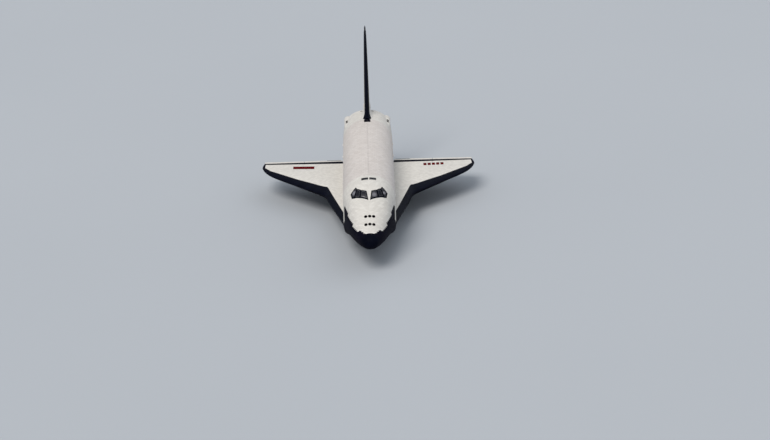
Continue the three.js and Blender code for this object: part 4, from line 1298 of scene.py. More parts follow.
def make_bay_doors():
    """The doors with their knuckles, their ribs and the dark plate by the fin."""
    door, hinge = Build().add(door_shape()), bay_hinge()
    for first in KNUCKLE_STARTS:
        door.add(hinge.barrel(first, first + KNUCKLE["door"], KNUCKLE["radius"]), 1)
    foot_start, foot_end = BAY_END - FIN_FOOT["ahead"], BAY_END - BAY["door_gap"]
    door.add(skin_patch(0.006, FIN_FOOT["half_width"], foot_start, foot_end), 2)
    for seam in DOOR_SEAMS:
        door.add(door_rib(seam), 1)
    paints = [FELT, WHITE_PAINT, DARK_TILE]
    make_sides(door.shape(), "bay_door_skin_{}", paints, "door_{}", "white_tile", "bay_door_{}")


PANEL = {"count": 4, "inset": 0.4, "gap": 0.015, "points": 121, "ridge": 0.006}


def radiator_ring(station):
    """A ring of a panel under the port door, ridged on its inner side, and its map places."""
    depth = BAY["door_depth"]
    outer, inner = door_section(station, -depth - 0.004, -depth - 0.04, 4.0, 0.25, PANEL["points"])
    away = inner - (0.0, 3.4)
    ridge = PANEL["ridge"] * (np.arange(PANEL["points"]) % 2)
    inner = inner - away / np.linalg.norm(away, axis=1)[:, None] * ridge[:, None]
    run = np.concatenate((lengths(outer), lengths(inner)[::-1], [0.0]))
    return strip_ring(station, outer, inner), np.column_stack((np.full(len(run), station), run))


def make_radiators():
    bounds = np.linspace(BAY_START + PANEL["inset"], BAY_END - PANEL["inset"], PANEL["count"] + 1)
    panels = Build()
    for low, high in zip(bounds, bounds[1:]):
        stations = np.linspace(low + PANEL["gap"], high - PANEL["gap"], 5)
        panels.add(loft(*zip(*(radiator_ring(s) for s in stations))))
    names = ("radiator_panels_{}", [RADIATOR], "door_{}", "radiator_silver", "radiator_{}")
    make_sides(panels.shape(), *names, sharp=20)


# Wings

def wing_rows(x):
    return monotone(WING[:, 0], WING[:, 1:], np.atleast_1d(np.asarray(x, float)))[0]


def hinge_at(x):
    """Station, level and radius of the elevons' hinge at a port offset."""
    (x0, *inner), (x1, *outer) = ELEVON["root"], ELEVON["tip"]
    share = (x - x0) / (x1 - x0)
    return [mix(ends, share) for ends in zip(inner, outer)] + [mix(ELEVON["radius"], share)]


# Lengths in a wing section, each with its greatest share of the chord, and the exponents of the blunt nose
WING_FORM = {"crown": (6.5, 0.55), "rise": (3.4, 0.35), "blunt": (2.4, 0.3), "upper": 0.66, "lower": 0.55}


def wing_lines(x):
    """Upper and lower outline of a wing section from the leading edge aft, and the cove behind it."""
    front, edge_level, bottom, top = wing_rows(x)
    station, level, radius = hinge_at(x)
    rear = station - LIP * radius
    crown, rise, blunt = (min(size, share * (rear - front)) for size, share in
                          (WING_FORM["crown"], WING_FORM["rise"], WING_FORM["blunt"]))
    u, s = np.linspace(0, 1, 25)**2, np.linspace(0, 1, 13)
    bulge, fall = 1 - (1 - u)**2, (1 - np.cos(np.pi * s)) / 2
    to_crown, to_rear = (front, rear - crown), (rear - crown, rear)
    upper = [(mix(to_crown, v), mix((edge_level, top), b**WING_FORM["upper"])) for v, b in zip(u, bulge)]
    lower = [(front + v * blunt, mix((edge_level, bottom), b**WING_FORM["lower"])) for v, b in zip(u, bulge)]
    upper += [(mix(to_rear, v), mix((top, level + radius), f)) for v, f in zip(s[1:], fall[1:])]
    lower += [(mix((rear - rise, rear), v), mix((bottom, level - radius), f)) for v, f in zip(s, fall)]
    wide = radius + CLEAR
    start = math.acos(-LIP * radius / wide)
    angles = np.linspace(start, 2 * math.pi - start, WING_ROWS["cove"])
    cove = np.column_stack((station + wide * np.cos(angles), level + wide * np.sin(angles)))
    return np.array(upper), np.array(lower), cove


def edge_border(x):
    return float(np.interp(x, EDGE_BORDER[:, 0], EDGE_BORDER[:, 1]))


# Chord of the dark strip ahead of the elevons, at the middle plane and at the tip, and its rows of points
REAR_STRIP = (0.64, 0.3)
STRIP_ROWS = 5
# Points along a wing section: on each side of the dark edge, on each side behind it, and in the cove
WING_ROWS = {"front": 18, "back": 34, "cove": 11}
# The wing tip turns inboard aft of a station, and is dark outboard of an offset.
TIP = {"x": 11.4, "station": 25.3, "run": 1.35, "tuck": 0.2, "dark": 11.6}


def wing_rings(x, squeeze=1.0):
    """The dark edge's ring and the wing's ring at a port offset, thinned near the tip by squeeze."""
    upper, lower, cove = wing_lines(x)
    front, back = WING_ROWS["front"], WING_ROWS["back"]
    border = max(edge_border(x), upper[0, 0] + 0.03)
    strip = upper[-1, 0] - mix(REAR_STRIP, x / WING[-1, 0])
    upper_front, lower_front = (walk(cut(line, 0, line[0, 0], border), front) for line in (upper, lower))
    lower_back = walk(cut(lower, 0, border, lower[-1, 0]), back)
    upper_back = np.vstack((walk(cut(upper, 0, border, strip), back - STRIP_ROWS),
                            walk(cut(upper, 0, strip, upper[-1, 0]), STRIP_ROWS + 1)[1:]))
    edge = np.vstack((upper_front[::-1], lower_front[1:]))
    wing = np.vstack((upper_back, cove, lower_back[::-1]))
    middle = (upper[-1, 1] + lower[-1, 1]) / 2
    rings = []
    for line in (edge, wing):
        level = middle + (line[:, 1] - middle) * squeeze
        tuck = np.clip((x - TIP["x"]) / (WING[-1, 0] - TIP["x"]), 0, 1) * TIP["tuck"]
        inboard = tuck * np.clip((line[:, 0] - TIP["station"]) / TIP["run"], 0, 1)**2
        rings.append((at(x - inboard, line[:, 0], level), line[:, 0]))
    return rings


def edge_path():
    """Points along the leading edge with their distance along it."""
    x = np.linspace(WING[0, 0], WING[-1, 0], 400)
    line = np.column_stack((x, monotone(WING[:, 0], WING[:, 1:2], x)[:, 0]))
    return line, lengths(line)


def path_places(points, line, along):
    """Map places of the dark edge: distance along the leading edge, and distance from it."""
    plan = np.column_stack((np.abs(points[:, 0]), points[:, 1] + LENGTH / 2))
    gaps = np.linalg.norm(plan[:, None] - line[None], axis=2)
    nearest = gaps.argmin(axis=1)
    places = np.column_stack((along[nearest], gaps.min(axis=1)))
    return np.vstack((places, places[:1]))


# The thinned tip: port offset, share of the thickness
TIP_SPANS = [(11.935, 0.9), (11.952, 0.65), (11.96, 0.3)]


def wing_shapes():
    """The port wing behind its dark edge, and the edge."""
    line, along = edge_path()
    edges, edge_places, wings, wing_places = [], [], [], []
    for x, squeeze in [(x, 1.0) for x in steps(WING[0, 0], 11.9, 0.13)] + TIP_SPANS:
        (edge, _), (wing, stations) = wing_rings(x, squeeze)
        edges.append(edge)
        edge_places.append(path_places(edge, line, along))
        wings.append(wing)
        wing_places.append(np.column_stack((np.full(len(wing) + 1, x), np.append(stations, stations[0]))))
    back, cove = WING_ROWS["back"], WING_ROWS["cove"]
    slots = [0] * (back - 1 - STRIP_ROWS) + [1] * STRIP_ROWS + [2] * (cove + 1) + [1] * back
    return loft(wings, wing_places, slots), loft(edges, edge_places)


def make_wing_skin(wing_shape, side, name):
    """A wing with its wheel well cut out and painted."""
    inner, outer, start, end, depth = (MAIN_WELL[key] for key in ("inner", "outer", "start", "end", "depth"))
    wing = Build().add(sided(wing_shape, side))
    wing = wing.make(f"wing_skin_{name}", [PALE_TILE, DARK_TILE, SEAL, WELL_PAINT])
    cutter = Build().add(sided(slab((inner, start, -0.3), (outer, end, depth)), side))
    carve(wing, cutter.make("well", [WELL_PAINT]))

    def rule(middles, _, slots):
        x, station, level = np.abs(middles[:, 0]), middles[:, 1] + LENGTH / 2, middles[:, 2] - BELLY
        inside = (x > inner - 0.01) & (x < outer + 0.01) & (level < depth + 0.01)
        inside &= (station > start - 0.01) & (station < end + 0.01) & (level > 0.003)
        return np.where(inside, 3, np.where((slots == 0) & (x > TIP["dark"]), 1, slots))
    repaint(wing, rule)
    dress(wing, "airframe", "white_tile", f"wing_{name}")


def make_wings():
    wing_shape, edge_shape = wing_shapes()
    for side, name in SIDES:
        make_wing_skin(wing_shape, side, name)
    make_sides(edge_shape, "wing_edge_shells_{}", [CARBON], "airframe", "black_tile", "wing_edge_{}")
    make_elevons()


def drooped(points, droop):
    """Pairs across a hinge, turned down about it by an angle."""
    cosine, sine = math.cos(math.radians(-droop)), math.sin(math.radians(-droop))
    return [(c * cosine - h * sine, c * sine + h * cosine) for c, h in points]


def flap_outline(radius, chord, edge, droop=0.0, count=16):
    """A round nose about the hinge with a wedge behind it."""
    angles = math.pi / 2 + math.pi * np.arange(count + 1) / count
    points = [(radius * math.cos(a), radius * math.sin(a)) for a in angles]
    return drooped(points + [(chord, -edge), (chord, edge)], droop)


def elevon_frame():
    return HingeFrame(at(*ELEVON["root"]), at(*ELEVON["tip"]), (0, 1, 0), (0, 0, 1))


def elevon_spans(length):
    half = ELEVON["bracket"] / 2
    brackets = [(t - half, t + half) for t in (0.0, ELEVON["split"], length + half)]
    inner, middle, outer = brackets
    return brackets, [(inner[1] + STUB, middle[0] - STUB), (middle[1] + STUB, outer[0] - STUB)]


def elevon_size(hinge, t):
    """Radius at the hinge line and chord of the elevons at a distance along it."""
    share = t / hinge.length
    return mix(ELEVON["radius"], share), mix(ELEVON["chord"], share)


def make_brackets(hinge, brackets):
    """The tongues that hold the elevons; the middle one is dark."""
    tongues = Build()
    for number, (t0, t1) in enumerate(brackets):
        radius = elevon_size(hinge, t0)[0]
        high, back, ahead = 0.45 * radius, 1.5 * radius, 0.35 * radius
        outline = [(-back, -high), (ahead, -high), (ahead, high), (-back, high)]
        tongues.add(hinge.block(t0, t1, outline), 1 if number == 1 else 0)
    middle = ELEVON["root"][0] + ELEVON["split"]
    level = wing_top(middle, 26.6)
    tongues.add(slab((middle - 0.06, 26.4, level - 0.06), (middle + 0.06, 26.8, level + 0.07)), 1)
    paints = [WHITE_PAINT, DARK_FRAME]
    make_sides(tongues.shape(), "elevon_brackets_{}", paints, "airframe", "white_tile", ease=0.01)


def painted_shade_strip(hinge):
    """A thin grey plate on top of the inner elevon, next to the fuselage: painted shade, standing in for the
    shadow by the wing root.
    """
    rings = []
    for t in np.linspace(0.1, 1.75, 5):
        radius, chord = elevon_size(hinge, t)
        top = [(c, mix((radius, ELEVON["edge"]), c / chord)) for c in (1.25, 1.88)]
        outline = [(c, h + lift) for lift, row in ((0.004, top), (-0.01, top[::-1])) for c, h in row]
        rings.append(hinge.ring(t, drooped(outline, ELEVON["droop"])))
    return loft(rings)


def elevon_shape(hinge, t0, t1):
    rings, places = [], []
    for t in np.linspace(t0, t1, 7):
        radius, chord = elevon_size(hinge, t)
        outline = flap_outline(radius, chord, ELEVON["edge"], ELEVON["droop"])
        rings.append(hinge.ring(t, outline))
        run = [0.0] * 17 + [chord, chord, 0.0]
        places.append(np.column_stack((np.full(len(outline) + 1, t), run)))
    return loft(rings, places, [1] * 18 + [0], caps=(2, 2))


def make_elevons():
    hinge = elevon_frame()
    brackets, spans = elevon_spans(hinge.length)
    make_brackets(hinge, brackets)
    for (t0, t1), part in zip(spans, ("inner", "outer")):
        flap = Build().add(elevon_shape(hinge, t0, t1))
        flap.add(hinge.barrel(t0 - STUB, t1 + STUB, 0.04), 2)
        if part == "inner":
            # The grey plate of painted shade by the wing root
            flap.add(painted_shade_strip(hinge), 2)
        make_sides(flap.shape(), f"elevon_skin_{part}_{{}}", [PALE_TILE, DARK_TILE, SEAL],
                   f"elevon_{{}}_{part}", "white_tile", f"elevon_{part}_{{}}", ease=0.012)


def wing_top(x, station):
    upper = wing_lines(x)[0]
    return float(np.interp(station, upper[:, 0], upper[:, 1]))


# Red markings on the wing tops: side, first and last port offset, first and last station, number of bars
MARKINGS = [(STARBOARD, 6.1, 8.48, 24.65, 25.6, 1), (PORT, 6.2, 8.6, 24.95, 25.8, 5)]


def mark_ring(x, s0, s1):
    """A section of a red plate on the wing top between two stations."""
    stations, lifts = (s0, s1, s1, (s0 + s1) / 2, s0), (-0.01, -0.01, 0.004, 0.004, 0.004)
    return [at(x, s, wing_top(x, s) + lift) for s, lift in zip(stations, lifts)]


def make_markings():
    marks = Build()
    for side, x0, x1, s0, s1, bars in MARKINGS:
        pitch = (x1 - x0) / bars
        width = pitch if bars == 1 else pitch * 0.72
        for bar in range(bars):
            offsets = np.linspace(x0 + bar * pitch, x0 + bar * pitch + width, 5)
            marks.add(sided(loft([mark_ring(x, s0, s1) for x in offsets]), side))
    dress(marks.make("wing_markings", [RED_PAINT]), "airframe", "white_tile")


# Tail

def on_hinge_line(level):
    (_, s0, z0), (_, s1, z1) = RUDDER["root"], RUDDER["tip"]
    return s0 + (level - z0) * (s1 - s0) / (z1 - z0)


def rudder_frame():
    return HingeFrame(at(*RUDDER["root"]), at(*RUDDER["tip"]), (0, 1, 0), (1, 0, 0))


FIN_BAND = 0.8
DARK_TIP = FIN_TOP - 0.4


def fin_ring(level):
    """One level of the fin: dark edge, side, hollow rear, and back along the other side."""
    half, forward, rear_half = monotone(FIN[:, 0], FIN[:, 1:], np.array([level]))[0]
    front = FIN_EDGE["station"] + (level - FIN_EDGE["level"]) * FIN_EDGE["slope"] - forward
    hinge = on_hinge_line(level)
    rear = hinge - LIP * rear_half
    u = np.linspace(0, 1, 30)**2
    side = np.column_stack((front + u * 0.5 * (rear - front), half * (1 - (1 - u)**2)**0.6))
    side = np.vstack((side, (rear, rear_half)))
    edge = walk(cut(side, 0, front, front + FIN_BAND), 9)
    rest = walk(cut(side, 0, front + FIN_BAND, rear), 20)
    frame_ = rudder_frame()
    share = (level - RUDDER["root"][2]) / (RUDDER["tip"][2] - RUDDER["root"][2])
    wide = min(mix(RUDDER["radius"], share) + CLEAR, 0.97 * rear_half)
    lean = 1 / frame_.along[2]
    start = math.acos(max(-1.0, (rear - hinge) / (wide * lean)))
    angles = np.linspace(start, 2 * math.pi - start, 9)
    cove = np.column_stack((hinge + wide * lean * np.cos(angles), wide * np.sin(angles)))
    port = np.vstack((edge, rest[1:]))
    ring = np.vstack((port, cove, (port * (1, -1))[:0:-1]))
    return at(ring[:, 1], ring[:, 0], level), ring[:, 0]


def make_fin():
    levels = [*np.arange(5.5, 7.0, 0.1), *steps(7.0, 14.2, 0.3), 14.28, FIN_TOP]
    rings, places = [], []
    for level in levels:
        ring, stations = fin_ring(level)
        rings.append(ring)
        places.append(np.column_stack((np.append(stations, stations[0]), np.full(len(ring) + 1, level))))
    slots = [1] * 8 + [0] * 20 + [2] * 8 + [0] * 20 + [1] * 8
    fin = Build().add(loft(rings, places, slots, caps=(0, 1))).make("fin_skin", [PALE_TILE, CARBON, SEAL])
    under = Build().add(body_loft(steps(24.5, TAIL, 0.3), 0.002))
    carve(fin, under.make("under", [SEAL]))
    front = Build().add(slab((-2.0, 20.0, 5.0), (2.0, BAY_END + 0.01, 7.0)))
    carve(fin, front.make("front", [CARBON]))
    dress(fin, "airframe", "white_tile", "fin")


def level_rings(outline_at, levels, frame_):
    """Rings at fixed levels of a form given by outlines across its hinge."""
    rings = []
    for level in levels:
        rise = level + BELLY - frame_.start[2]
        points = []
        for k in range(len(outline_at(0.0))):
            t = 0.0
            for _ in range(6):
                c, h = outline_at(t)[k]
                t = (rise - c * frame_.free[2] - h * frame_.thick[2]) / frame_.along[2]
            c, h = outline_at(t)[k]
            points.append(frame_.place(t, c, h))
        rings.append(points)
    return rings


def dark_top(middles, _, slots):
    """The repaint rule of the rudder's dark top."""
    return np.where(middles[:, 2] > DARK_TIP + BELLY, 2, slots)


def wedge_outline(chord, radius):
    """The port half of the rudder behind its spine, across the hinge."""
    front, inner, edge = RUDDER["back"] + RUDDER["gap"], 0.006, 0.006 + RUDDER["edge"]
    middle = (mix((front, chord), 0.5), mix((radius, edge), 0.5))
    hinge = (RUDDER["back"] + RUDDER["brake_gap"], radius)
    return [(front, inner), (chord, inner), (chord, edge), middle, hinge]


def brake_barrel(radius):
    """The outline of a brake's hinge barrel, flush with the rudder's side."""
    middle, size = RUDDER["back"] + RUDDER["brake_gap"], RUDDER["barrel"]
    angles = np.linspace(0, 2 * math.pi, 17)[:-1]
    return [(middle + size * math.cos(a), radius - size + size * math.sin(a)) for a in angles]


def make_rudder():
    hinge = rudder_frame()
    levels = [RUDDER["low"], RUDDER["low"] + 0.02, *steps(7.4, DARK_TIP, 0.85), FIN_TOP]
    (t0, c0), (t1, c1) = (hinge.locate(at(*end)) for end in RUDDER["trailing"])

    def radius(t):
        return mix(RUDDER["radius"], t / hinge.length)

    def chord(t):
        return c0 + (c1 - c0) * (t - t0) / (t1 - t0)
    socket = RUDDER["back"] - RUDDER["barrel"]
    spine = level_rings(lambda t: flap_outline(radius(t), socket, radius(t) - 0.002), levels, hinge)
    core = Build().add(loft(spine)).add(hinge.barrel(-0.15, 0.06, 0.06), 1)
    core = core.make("rudder_core", [PALE_TILE, BRIGHT_METAL, DARK_TILE])
    repaint(core, dark_top)
    dress(core, "rudder", "white_tile", "rudder_spine")
    rings = level_rings(lambda t: wedge_outline(chord(t), radius(t)), levels, hinge)
    places = [np.array([*ring, ring[0]])[:, 1:] for ring in rings]
    panel = loft(rings, places, [1, 1, 0, 0, 1], caps=(1, 1))
    barrel = loft(level_rings(lambda t: brake_barrel(radius(t)), levels, hinge))
    for side, name in SIDES:
        piece = Build().add(sided(panel, side)).add(sided(barrel, side), 1)
        piece = piece.make(f"brake_skin_{name}", [PALE_TILE, SEAL, DARK_TILE])
        repaint(piece, dark_top)
        dress(piece, f"brake_{name}", "white_tile", f"brake_panel_{name}")


# Aft end

def fairing(rows, x, level, count=40, sides=36, slot=0, caps=None):
    """A blister along the fuselage from rows of station, half width and half height."""
    rows = np.array(rows)
    stations = np.linspace(rows[0, 0], rows[-1, 0], count)
    sizes = monotone(rows[:, 0], rows[:, 1:], stations)
    angles = 2 * math.pi * np.arange(sides) / sides
    rings, places = [], []
    for station, (wide, high) in zip(stations, sizes):
        rings.append(at(x + wide * np.cos(angles), station, level + high * np.sin(angles)))
        run = np.linspace(0, math.pi * (wide + high), sides + 1)
        places.append(np.column_stack((run, np.full(sides + 1, station))))
    return loft(rings, places, slot, caps or (slot, slot))


POD = {"x": 2.15, "level": 4.7}
# station, half width, half height
POD_ROWS = [
    (27.7, 0.04, 0.04),
    (27.78, 0.12, 0.12),
    (28.05, 0.34, 0.33),
    (28.8, 0.46, 0.44),
    (TAIL + 0.25, 0.48, 0.47),
]


def flap_frame():
    ends = (at(side * FLAP["half_width"], FLAP["station"], FLAP["level"]) for side in (STARBOARD, PORT))
    return HingeFrame(*ends, (0, 1, 0), (0, 0, 1))


# Outline of a body flap bracket: distance aft of the hinge, distance above it
FLAP_EAR = [(-0.5, -0.07), (0.07, -0.07), (0.07, 0.07), (-0.5, 0.07)]
EAR_WIDTH = 0.05


def make_flap_ears(hinge):
    ears = Build()
    for t0, t1 in ((-STUB - EAR_WIDTH, -STUB), (hinge.length + STUB, hinge.length + STUB + EAR_WIDTH)):
        ears.add(hinge.block(t0, t1, FLAP_EAR))
    dress(ease_edges(ears.make("flap_ears", [DARK_FRAME]), 0.015), "airframe", "black_tile")


def make_body_flap(hinge):
    outline = flap_outline(FLAP["radius"], FLAP["chord"], FLAP["edge"])
    run = [0.0] * 17 + [FLAP["chord"], FLAP["chord"], 0.0]
    places = np.linspace(0, hinge.length, 9)
    rings = [hinge.ring(t, outline) for t in places]
    flap = Build().add(loft(rings, [np.column_stack((np.full(len(run), t), run)) for t in places]))
    flap.add(hinge.barrel(-STUB, hinge.length + STUB, 0.055), 1)
    piece = ease_edges(flap.make("body_flap_skin", [DARK_TILE, SEAL]), 0.02)
    dress(piece, "flap", "black_tile", "body_flap")


def make_aft_fuselage():
    """The tail with the cove of its body flap, the flap and its brackets."""
    body = Build().add(body_loft(steps(BAY_END + SEAM, TAIL, 0.2), caps=(3, 1)))
    body = body.make("aft_skin", [SKIN, DARK_TILE, SEAL, WHITE_PAINT])
    hinge = flap_frame()
    ends = (-STUB - EAR_WIDTH, hinge.length + STUB + EAR_WIDTH)
    cove = Build().add(hinge.barrel(*ends, FLAP["radius"] + CLEAR, 40))
    carve(body, cove.make("cove", [SEAL]))
    make_flap_ears(hinge)
    dress(body, "airframe", "white_tile", "aft_fuselage")
    vents = Build().pair(skin_patch(0.5, 0.76, 30.28, 30.42)).make("tail_vents", [DARK_FRAME])
    dress(vents, "airframe", "black_tile")
    make_body_flap(hinge)


# A small bell, outer and then inner side, as shares of its radius and of its depth
BELL_SHARES = [
    (0.3, 0.0), (0.45, 0.3), (0.8, 0.7), (1.0, 1.0), (0.9, 1.0), (0.7, 0.7), (0.35, 0.3), (0.2, 0.05),
]


def nozzle(centre, radius, depth):
    """A small thruster bell, open at its mouth, which points aft."""
    profile = [(r * radius, d * depth) for r, d in BELL_SHARES]
    return turned(profile, centre, AFT, 24, closed=True)


# Bells at the rear of a pod: port offset and level from its middle
POD_BELLS = [(0.2, 0.25), (0.2, -0.05), (-0.1, 0.25), (-0.1, -0.05)]
# Vents on its top: station, level above its middle
POD_VENTS = [(28.85, 0.415), (29.3, 0.425)]
VENT_PROFILE = [(0.0, 0.0), (0.125, 0.0), (0.135, 0.025), (0.135, -0.09), (0.0, -0.09)]


def pod_nozzles():
    """The bells and vents of the port pod, with the discs that close the throats and the vents in painted
    shade.
    """
    cluster = Build()
    for dx, dz in POD_BELLS:
        centre = at(POD["x"] + dx, TAIL + 0.25 - 0.02, POD["level"] + dz)
        cluster.add(nozzle(centre, 0.1, 0.16), 1)
        cluster.add(turned(band(0.0, 0.06, 0.0, 0.03), centre, AFT, 16))
    for station, level in POD_VENTS:
        base = at(POD["x"] + 0.16, station, POD["level"] + level)
        cluster.add(turned(VENT_PROFILE, base, (0.3, -0.35, 0.9), 24))
    return cluster.shape()


def make_pods():
    pod = fairing(POD_ROWS, POD["x"], POD["level"], 46, 40, caps=(0, 1))
    make_sides(pod, "pod_skin_{}", [PALE_TILE, DARK_TILE], "airframe", "white_tile", "thruster_pod_{}")
    make_sides(pod_nozzles(), "pod_nozzles_{}", [BORE_SHADE, NOZZLE], "airframe", "nozzle_metal")


# station, half width, half height
CHUTE_ROWS = [(30.2, 0.26, 0.24), (30.65, 0.42, 0.40), (31.7, 0.42, 0.40), (32.15, 0.28, 0.28)]
CHUTE_LEVEL = 6.24
CHUTE_RING = [(0.27, -0.02), (0.27, 0.015), (0.23, 0.02), (0.23, -0.02)]


def make_chute_housing():
    build = Build().add(fairing(CHUTE_ROWS, 0.0, CHUTE_LEVEL, 30, 36))
    build.add(turned(CHUTE_RING, at(0, CHUTE_ROWS[-1][0], CHUTE_LEVEL), AFT, 36, closed=True), 1)
    piece = build.make("chute_canister", [PALE_TILE, SEAL])
    dress(piece, "airframe", "white_tile", "chute_housing")


# Engine bell: outer then inner side, as radius and distance aft of its seat
BELL_OUT = [
    (0.24, 0.0), (0.24, 0.18), (0.27, 0.26), (0.36, 0.48), (0.45, 0.67), (0.52, 0.86), (0.58, 1.06),
    (0.62, 1.25),
]
BELL_IN = [(0.60, 1.25), (0.56, 1.06), (0.49, 0.86), (0.42, 0.67), (0.33, 0.48), (0.22, 0.3), (0.17, 0.2)]
ENGINE = {"x": 0.95, "level": 4.15, "seat": TAIL + 0.1803}


# The plate behind the tail: station, half width, half height
PLATE_ROWS = [(TAIL + 0.0003, 1.56, 0.95), (TAIL + 0.12, 1.54, 0.94), (TAIL + 0.18, 1.5, 0.9)]
BELL_HOOPS = (0.36, 0.55, 0.74, 0.93, 1.12, 1.23)
BELL_STRUTS = (0.6, 2.2, 3.9, 5.4)


def make_propulsion_plate():
    """The plate that carries the engines, with its bolts and two small bells."""
    plate = Build().add(fairing(PLATE_ROWS, 0.0, ENGINE["level"], 6, 64))
    for dz in (-0.52, 0.52):
        plate.add(nozzle(at(0, TAIL + 0.17, ENGINE["level"] + dz), 0.12, 0.22), 1)
    for angle in 2 * math.pi * np.arange(40) / 40:
        point = at(1.42 * math.cos(angle), TAIL + 0.175, ENGINE["level"] + 0.83 * math.sin(angle))
        plate.add(rod(point, point + (0, 0.02, 0), 0.018, 6), 1)
    dress(plate.make("propulsion_plate", [DARK_TILE, NOZZLE]), "airframe", "black_tile", "propulsion_block")


def engine_bell(seat):
    """An engine bell with hoops, a disc of painted shade that closes its throat, and struts."""
    bell = Build().add(turned([*walk(np.array(BELL_OUT), 26), *walk(np.array(BELL_IN), 24)], seat, AFT, 48))
    radii, distances = zip(*BELL_OUT)
    for along in BELL_HOOPS:
        radius = float(np.interp(along, distances, radii))
        inner, outer = radius - 0.01, radius + 0.018
        hoop = [(inner, -0.014), (outer, -0.01), (outer, 0.01), (inner, 0.014)]
        bell.add(turned(hoop, seat + (0, along, 0), AFT, 48, closed=True))
    bell.add(turned(band(0.0, 0.175, 0.19, 0.215), seat, AFT, 24), 1)
    for angle in BELL_STRUTS:
        foot = seat + np.array((0.33 * math.cos(angle), 0.0, 0.33 * math.sin(angle)))
        top = seat + np.array((0.3 * math.cos(angle), 0.4, 0.3 * math.sin(angle)))
        bell.add(rod(foot, top, 0.022, 10))
    return bell


def make_engines():
    make_propulsion_plate()
    for side, name in SIDES:
        bell = engine_bell(at(side * ENGINE["x"], ENGINE["seat"], ENGINE["level"]))
        piece = bell.make(f"engine_bell_{name}", [NOZZLE, BORE_SHADE])
        dress(piece, "airframe", "nozzle_metal", f"engine_{name}")


# Landing gear

def tyre_profile(wheel):
    """Rounded section with tread ribs, as radius and distance along the axle, closed on itself."""
    radius, half, seat = wheel["radius"], wheel["width"] / 2, wheel["rim"] + 0.0004
    crown = []
    for place in np.linspace(-0.62, 0.62, 9):
        for offset, dip in ((-0.05, 0.0), (-0.018, 0.0), (-0.012, 0.011), (0.012, 0.011), (0.018, 0.0)):
            if abs(place) < 0.6 or dip == 0.0:
                crown.append((radius - dip - 0.012 * (place / 0.62)**2, (place + offset) * half))
    shoulder = [(radius - 0.035, -0.8 * half), (radius - 0.07, -0.92 * half),
                (mix((seat, radius), 0.45), -half), (seat + 0.03, -0.9 * half), (seat, -0.72 * half)]
    bead = [(r, -a) for r, a in shoulder]
    return shoulder[::-1] + crown + bead


# Half the thickness of a wheel disc, as a share of the tyre's width
DISC = 0.36


def hub_profile(wheel):
    """One disc of a hub from the axle outwards and back, as radius and distance along the axle."""
    rim, axle = wheel["rim"], wheel["axle"]
    inner, outer = wheel["spread"] - DISC * wheel["width"], wheel["spread"] + DISC * wheel["width"]
    return [(axle, inner), (rim - 0.02, inner), (rim, inner - 0.012), (rim, outer + 0.012),
            (rim - 0.022, outer), (rim * 0.8, outer - 0.03), (rim * 0.62, outer - 0.06),
            (axle * 2.1, outer - 0.05), (axle * 1.9, outer + 0.02), (axle * 1.2, outer + 0.03),
            (0.0, outer + 0.03)]


def hub_details(wheel, centre, direction):
    """Bolts and vents on the outer face of a disc, in slots 1 and 2; the vents are plugs of painted shade.
    """
    face = direction * (wheel["spread"] + DISC * wheel["width"] - 0.05)
    bolts, vents = 0.52 * wheel["rim"], 0.74 * wheel["rim"]
    details = Build()
    for angle in 2 * math.pi * np.arange(10) / 10:
        bolt = centre + (face, bolts * math.cos(angle), bolts * math.sin(angle))
        details.add(rod(bolt, bolt + (direction * 0.03, 0, 0), 0.014, 6), 1)
        turn = angle + 0.3
        vent = centre + (face + direction * 0.005, vents * math.cos(turn), vents * math.sin(turn))
        details.add(rod(vent, vent + (direction * 0.02, 0, 0), wheel["rim"] * 0.075, 12), 2)
    return details.shape()


def make_wheels(name, body, wheel, x):
    """The hub with both its discs and the axle, and the two tyres."""
    centre = at(x, wheel["station"], axle_level(wheel))
    inward = [(r, -a) for r, a in hub_profile(wheel)][::-1]
    hub = Build().add(turned(inward + hub_profile(wheel), centre, SIDEWAYS, 48))
    for direction in (-1, 1):
        hub.add(hub_details(wheel, centre, direction))
    piece = hub.make(f"{name}_wheel_hub", [WHEEL_METAL, BRIGHT_METAL, BORE_SHADE])
    dress(piece, body, "wheel_metal", f"{name}_hub")
    for end, direction in (("inner", -1), ("outer", 1)):
        outward = -direction if x < 0 else direction
        middle = centre + (outward * wheel["spread"], 0, 0)
        tyre = Build().add(turned(tyre_profile(wheel), middle, SIDEWAYS, 72, closed=True))
        dress(tyre.make(f"{name}_tread_{end}", [RUBBER], 25), body, "tyre", f"{name}_tyre_{end}")


def sleeve(wheel, x):
    """The bored sleeve that carries an axle between its twin wheels."""
    half = wheel["spread"] - DISC * wheel["width"] - 0.008
    inner, outer = wheel["axle"] + 0.003, wheel["axle"] * 1.9
    profile = [(inner, -half), (outer - 0.01, -half), (outer, -half + 0.01)]
    profile += [(r, -a) for r, a in profile[::-1]]
    return turned(profile, at(x, wheel["station"], axle_level(wheel)), SIDEWAYS, 32, closed=True)


def torque_link(top, bottom, knee, width, slot=1):
    """Two hinged plates that keep a strut from turning."""
    parts = Build()
    knee, side = np.asarray(knee), np.array((1.0, 0.0, 0.0))
    for root in (np.asarray(top), np.asarray(bottom)):
        for spread in (-width, width):
            parts.add(rod(root + side * spread, knee + side * spread * 0.45, 0.016, 8), slot)
        parts.add(rod(root - side * width, root + side * width, 0.02, 10), slot)
    parts.add(rod(knee - side * width * 0.5, knee + side * width * 0.5, 0.026, 12), slot)
    return parts.shape()


def axle_level(wheel):
    return wheel["radius"] - BELLY


